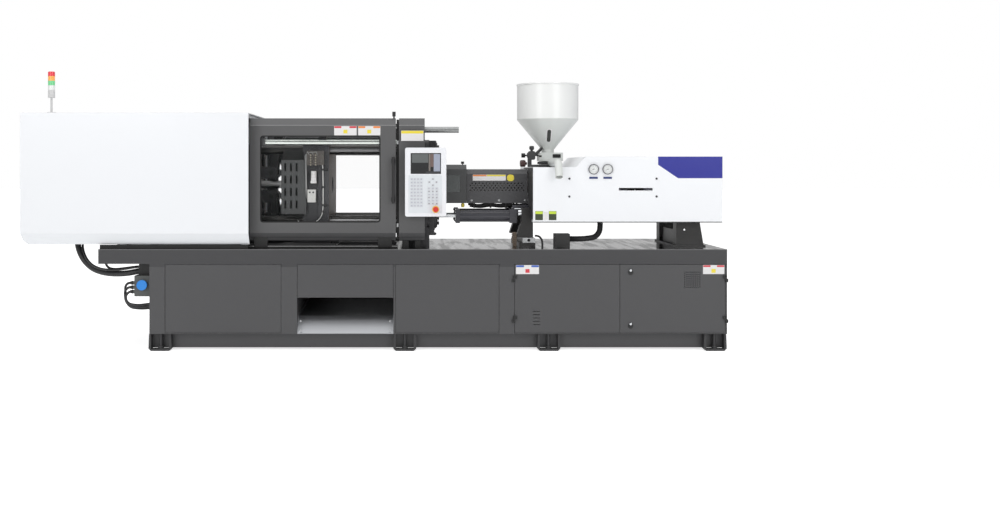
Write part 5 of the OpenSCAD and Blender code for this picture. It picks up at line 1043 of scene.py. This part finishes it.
# Purge guard: a folded steel hood over the nozzle with a small window, on a
# hinge rod behind it; a black knob lifts it.
finish(sprayed("hood_paint", (0.06, 0.062, 0.062), 0.45, grade=lambda tree, painted:
               coloured_below(1.347, (0.055, 0.057, 0.058))(tree, HINGE_BLACK)),
       "purge_guard")
HOOD_Y = -0.1722
front_pad("purge_window", (0.536, 0.639, 1.138, 1.269), 0.004, HOOD_Y, 0.0008,
          clear_sheet("purge_sheet", (0.10, 0.11, 0.11), 0.75, 0.12), "purge_guard")

# Barrel: nitrided steel with a straw heat tint, mica bands in steel jackets,
# under a perforated cover.
finish(ground("barrel_steel", (0.34, 0.30, 0.25), 0.34, (4, 90, 90), spread=0.2,
              contrast=0.35), "barrel")
finish(ground("heater_jacket", (0.42, 0.40, 0.37), 0.4, (60, 60, 60), spread=0.2,
              contrast=0.3), "heater_bands")
finish(sprayed("cover_grey", (0.062, 0.062, 0.066), 0.42), "barrel_cover")
barrel_cover_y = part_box("barrel_cover")[0].y
bm = bmesh.new()
for across in (0.724, 0.933, 1.132):
    add_screw(bm, (across, barrel_cover_y, 1.075), 0.0075)
make("cover_screws", bm, zinc, "carriage")

# Plates on the barrel cover: one long blank plate with an orange and a yellow
# field, and a yellow round one beside it.
colour_plate("barrel_cover_plate", (0.733, 0.985, 1.226, 1.272), barrel_cover_y,
             foil_white, [((0.0, 0.42, 0.70, 1.0), foil_orange),
                          ((0.42, 1.0, 0.70, 1.0), foil_yellow)], "carriage")
colour_plate("barrel_cover_mark", (0.994, 1.048, 1.222, 1.272), barrel_cover_y,
             foil_yellow, [], "carriage", 0.020)

# Heater cables: black looms clipped under the barrel cover's lower edge, tied
# in bunches, with one brass grease fitting and a bright oil pipe below them.
bm = bmesh.new()
for near, drop, width in ((-0.128, 0.0, 0.021), (-0.105, -0.010, 0.018),
                          (0.118, -0.004, 0.020)):
    add_tube(bm, [(across, near, height + drop) for across, height in (
        (0.712, 1.043), (0.790, 1.034), (0.870, 1.043), (0.950, 1.036), (1.030, 1.042),
        (1.100, 1.030), (1.150, 1.020))], width, 12, 8)
for across in (0.745, 0.870, 0.985, 1.070):
    for near in (-0.146, 0.106):
        add_block(bm, (across - 0.006, near, 1.018),
                  (across + 0.006, near + 0.030, 1.0545))
make("heater_looms", bm, seal_rubber, "carriage")
turned("grease_fitting", [
    (0.012, 0), (0.012, 0.010), (0.0145, 0.012), (0.0145, 0.022), (0.010, 0.026),
    (0.010, 0.034), (0.006, 0.038), (0, 0.038)], [(0.657, -0.158, 1.024)], (0, 0, 1),
    20, foil("fitting_yellow", (0.62, 0.50, 0.07)), "carriage")
bm = bmesh.new()
add_tube(bm, [(across, -0.196, 1.012) for across in (1.046, 1.080, 1.120, 1.156)],
         0.013, 16, 3)
make("oil_pipe", bm, chrome, "carriage")

# Shot cylinders: honed tubes between square end blocks with tie rods, oiled
# and slightly blue in the light.
finish(sprayed("cylinder_grey", (0.047, 0.047, 0.058), 0.24, wear=0.3, dust=0.08,
               peel=0.1, tone=0.1, coat=0.3), "sled_cylinders")

# Supports and carriage: cast iron feet, painted black, with the guide bars'
# ends clamped in their tops. The shutter under the hopper is black plastic.
finish(sprayed("black_paint", (0.018, 0.017, 0.0165), 0.4, wear=0.35, dust=0.18,
               peel=0.25, tone=0.15), "carriage", "rear_support", "front_support")
finish(black_plastic, "hopper_shutter")

# Front block of the support: a bright zinc plated steel cover on its foot, with
# a black disc in its middle that is painted shade for a bore.
support_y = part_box("front_support")[0].y
front_pad("support_face", (1.094, 1.188, 0.765, 0.802), 0.003, support_y, 0.003, zinc,
          "machine", 0.001)
turned("support_bore_shade", [(0.011, 0), (0.011, 0.0006), (0.0095, 0.0006),
                        (0.0095, -0.0004), (0, -0.0004)],
       [(1.141, support_y - 0.003, 0.784)], FRONT, 28, seal_rubber, "machine")

# Wiper block and drain hose: a ribbed bronze block beside the front support,
# and the rubber hose that drains the guide's oil into the deck.
bm = bmesh.new()
for rib in range(6):
    low = 0.762 + rib * 0.014
    add_block(bm, (1.018, -0.318, low), (1.0515, -0.262, low + 0.009))
add_block(bm, (1.024, -0.312, DECK_TOP + 0.0005), (1.0515, -0.268, 0.842))
make("wiper_block", bm, sprayed("bronze_block", (0.115, 0.085, 0.060), 0.5, wear=0.4,
                                dust=0.2, peel=0.3), "machine", 0.001)
bm = bmesh.new()
add_tube(bm, [(across, -0.300, height) for across, height in (
    (1.1895, 0.815), (1.205, 0.815), (1.226, 0.806), (1.241, 0.784), (1.245, 0.758),
    (1.245, DECK_TOP + 0.0005))], 0.015, 14)
make("drain_hose", bm, hose_rubber, "machine")


# Injection cover: sprayed white sheet over the shot cylinders, with a plain
# blue field sprayed over its rear top corner.
def blue_corner(tree, painted):
    """The field ends at an upright, a level and a slanted line."""
    slant = reckon(tree, "ADD", one_axis(tree, spot(tree), "Z"),
                   multiply(tree, one_axis(tree, spot(tree), "X"), 0.674))
    corner = multiply(tree, above(tree, "X", 2.074), above(tree, "Z", 1.247),
                      reckon(tree, "GREATER_THAN", slant, 2.7436))
    return mix_colour(tree, corner, painted, (0.006, 0.011, 0.27))


finish(cover_white("cover_white_blue", (0.85, 0.865, 0.89), 0.34, blue_corner),
       "injection_cover")
COVER_Y = -0.455
bm = bmesh.new()
for across in (1.424, 2.063):
    for height in (1.244, 1.113):
        for side in (-1, 1):
            add_turned(bm, [(0.008, 0), (0.008, 0.0012), (0.0062, 0.0042),
                            (0.0035, 0.005), (0.003, 0.0035), (0, 0.0035)],
                       (across, -side * COVER_Y, height), (0, side, 0), 24)
make("injection_cover_screws", bm, ground("dark_steel", (0.1, 0.1, 0.105), 0.4,
                                          (90, 90, 90)), "carriage")

# Dust plate: black painted steel sheet in two strips, which closes the
# injection cover's left end round the barrel.
bm = bmesh.new()
add_block(bm, (1.1545, -0.450, 0.945), (1.1575, -0.156, 1.326))
add_block(bm, (1.1545, -0.156, 1.316), (1.1575, 0.170, 1.326))
make("dust_plate", bm, cast_black, "carriage", 0.0008)

# Edge strip: a dark extruded rubber profile, pushed on to both lower edges of
# the injection cover.
bm = bmesh.new()
for near in (-0.4556, 0.4500):
    add_block(bm, (1.160, near, 0.9222), (2.544, near + 0.0056, 0.9285))
make("cover_edge_strip", bm, seal_rubber, "carriage", 0.0008)

# Plates on the injection cover: two dark green ones with a lime field, and a
# plain white one between them.
foil_lime = foil("foil_lime", (0.55, 0.72, 0.06))
foil_green = foil("foil_green", (0.045, 0.06, 0.03))
for number, left in enumerate((1.174, 1.273)):
    colour_plate(f"cover_plate_{number + 1}", (left, left + 0.056, 0.940, 1.006),
                 COVER_Y, foil_green, [((0.0, 1.0, 0.66, 1.0), foil_lime)], "carriage")
colour_plate("cover_plate_white", (1.236, 1.267, 0.944, 1.000), COVER_Y, foil_white, [],
             "carriage")

# Pressure gauges: white dials with black ticks and a needle, behind glass, each
# over a blank blue anodised strip.
GAUGES = (1.601, 1.704)
finish(ground("gauge_rim", (0.20, 0.20, 0.21), 0.25, (50, 50, 50), contrast=0.15),
       "pressure_gauges")
strip_blue = foil("strip_blue", (0.022, 0.040, 0.16))
for number, across in enumerate(GAUGES):
    colour_plate(f"gauge_strip_{number + 1}",
                 (across - 0.031, across + 0.031, 1.243, 1.257), COVER_Y - 0.002,
                 strip_blue, [], "carriage", 0.001)


def add_mark(bm, middle, degrees, inner, outer, foot, tip, lift):
    """A flat radial mark on a dial. foot and tip are half its end widths."""
    angle = math.radians(degrees)
    along = Vector((math.cos(angle), 0, math.sin(angle)))
    aside = Vector((-math.sin(angle), 0, math.cos(angle)))
    corners = ((inner, -foot), (outer, -tip), (outer, tip), (inner, foot))
    bm.faces.new([bm.verts.new(middle + along * reach + aside * width
                               + lift * Vector(FRONT)) for reach, width in corners])


DIALS = [Vector((across, COVER_Y - 0.008, 1.313)) for across in GAUGES]
turned("gauge_dials", [(0.0335, 0), (0.0335, 0.0006), (0, 0.0006)], DIALS, FRONT, 48,
       foil("dial_white", (0.80, 0.81, 0.80)), "carriage")
bm = bmesh.new()
for middle in DIALS:
    for k in range(41):
        inner, width = (0.0275, 0.0004) if k % 5 else (0.0245, 0.0009)
        add_mark(bm, middle, 225 - 270 * k / 40, inner, 0.030, width, width, 0.0008)
    add_mark(bm, middle, 205, -0.007, 0.026, 0.0016, 0.0004, 0.0022)
    add_turned(bm, [(0.003, 0.0006), (0.003, 0.003), (0.002, 0.0036), (0, 0.0036)],
               middle, FRONT, 20)
make("gauge_marks", bm, mark_dark, "carriage")
turned("gauge_glasses", [
    (0.0335, 0.0035), (0.0335, 0.0045), (0.026, 0.0057), (0.012, 0.0064), (0, 0.0066)],
    DIALS, FRONT, 48, clear_sheet("gauge_glass", (0.85, 0.88, 0.88), 0.10, 0.02),
    "carriage")

# Hopper: spun sheet drum and cone, sprayed gloss white, on a cast base; the
# base and the drain spout are a greyer white.
finish(sprayed("hopper_white", (0.82, 0.83, 0.82), 0.3, wear=0.08, dust=0.04, peel=0.05,
               bare=(0.5, 0.5, 0.5), tone=0.015, coat=0.25,
               grade=coloured_below(1.700, (0.66, 0.68, 0.66))), "hopper")

# Sight glass: a dark clear strip in a white plastic frame, curved to the cone
# and fixed on it, which shows how full the hopper is.
HOPPER_X = 1.323
CONE_FOOT, CONE_TOP = Vector((0.045, 0, 1.465)), Vector((0.236, 0, 1.695))
SIGHT_ANGLE = math.radians(-93)


def on_cone(aside, along, out):
    """A point on the cone: to one side, along its slope and out of it."""
    slope = (CONE_TOP - CONE_FOOT).normalized()
    radius = CONE_FOOT.x + slope.x * along + slope.z * out
    height = CONE_FOOT.z + slope.z * along - slope.x * out
    turn = SIGHT_ANGLE + aside / max(radius, 0.02)
    return Vector((HOPPER_X + radius * math.cos(turn), radius * math.sin(turn), height))


sight_glass, tree, shader = blank_material("sight_glass", 0.08, coat=0.7)
smears = node(tree, "TexNoise", {"Scale": 30.0}).outputs[0]
feed(tree, shader, {"Base Color": (0.02, 0.022, 0.02),
                    "Roughness": remap(tree, smears, 0.05, 0.16)})
for name, half, start, end, out, material, slot in (
        ("sight_frame", 0.0225, 0.068, 0.204, 0.0022, foil_white, "hopper_paint"),
        ("sight_glass", 0.0140, 0.078, 0.194, 0.0034, sight_glass, "window_plastic")):
    bm = bmesh.new()
    add_outline(bm, rounded(-half, half, start, end, half * 0.98, 6),
                lambda a, u, o: on_cone(a, u, o - 0.001), out + 0.001)
    make(name, bm, material, "carriage")

# Hopper clamp: a black cast post on the cover's edge with a hand screw on top
# and a stay to the cone, a red-brown hand wheel, and black insets on the base
# that are painted shade for its slots.
CLAMP_SEAT = 1.3295
bm = bmesh.new()
for sides, radius, steps, face_y, depth in (
        ((1.158, 1.186, CLAMP_SEAT, 1.405), 0.006, 3, -0.078, 0.040),
        ((1.160, 1.214, 1.385, 1.452), 0.014, 4, -0.076, 0.046),
        ((1.153, 1.176, 1.400, 1.440), 0.008, 4, -0.080, 0.034)):
    add_outline(bm, rounded(*sides, radius, steps), facing_front(face_y), depth)
add_turned(bm, [(0.010, 0), (0.010, 0.012), (0.017, 0.015), (0.0185, 0.020),
                (0.0185, 0.036), (0.015, 0.042), (0, 0.043)], (1.188, -0.099, 1.449),
           steps=20)
add_tube(bm, [(1.198, -0.098, 1.418), (1.220, -0.094, 1.430), (1.242, -0.080, 1.448),
              (1.262, -0.058, 1.466), (1.270, -0.046, 1.474)], 0.024, 12, 4)
add_block(bm, (1.160, -0.150, CLAMP_SEAT), (1.338, -0.118, CLAMP_SEAT + 0.019))
add_block(bm, (1.232, -0.108, 1.352), (1.318, -0.0905, 1.371))
make("hopper_clamp", bm, cast_black, "carriage", 0.002)
turned("hand_wheel", [
    (0.010, 0), (0.010, 0.010), (0.022, 0.012), (0.0265, 0.018), (0.0265, 0.046),
    (0.023, 0.052), (0.012, 0.054), (0, 0.054)], [(1.152, -0.099, 1.357)], (-1, 0, 0),
    28, sprayed("wheel_brown", (0.050, 0.018, 0.016), 0.35, wear=0.1), "carriage",
    0.001)
BASE_Y = -0.0751
bm = bmesh.new()
for sides in ((1.247, 1.268, 1.406, 1.420), (1.352, 1.414, 1.401, 1.429)):
    add_outline(bm, rounded(*sides, 0.004, 3), facing_front(BASE_Y), 0.0012)
make("base_slot_shade", bm, seal_rubber, "carriage")

# Hidden pieces: motor and pump on the bed's floor, and the mounting plate of
# the electrical cabinet.
finish(sprayed("motor_paint", (0.05, 0.065, 0.09), 0.4, wear=0.3, dust=0.3, peel=0.3,
               tone=0.1), "pump_motor")
finish(ground("plate_zinc", (0.60, 0.60, 0.56), 0.4, (20, 20, 20), spread=0.2),
       "electrical_plate")

# Conduit hose: corrugated black plastic between the carriage and the box on
# the deck, long enough for the carriage's travel.
CONDUIT_WIDTH = 0.0438
CONDUIT_STEPS = 24
conduit_route = [(across, -0.380, height) for across, height in (
    (1.662, 0.924), (1.662, 0.890), (1.655, 0.850), (1.625, 0.815), (1.570, 0.802),
    (1.500, 0.798), (1.460, 0.798), (1.432, 0.798))]
bm = bmesh.new()
line = add_tube(bm, conduit_route, CONDUIT_WIDTH, CONDUIT_STEPS, 14)
bm.verts.ensure_lookup_table()
for number in range(0, len(bm.verts), 2 * CONDUIT_STEPS):
    ring = bm.verts[number:number + CONDUIT_STEPS]
    middle = sum((v.co for v in ring), Vector()) / CONDUIT_STEPS
    for vert in ring:
        vert.co = middle + (vert.co - middle) * 0.86
conduit = make("conduit_tube", bm, black_plastic, None)
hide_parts("conduit_hose")
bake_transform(conduit)
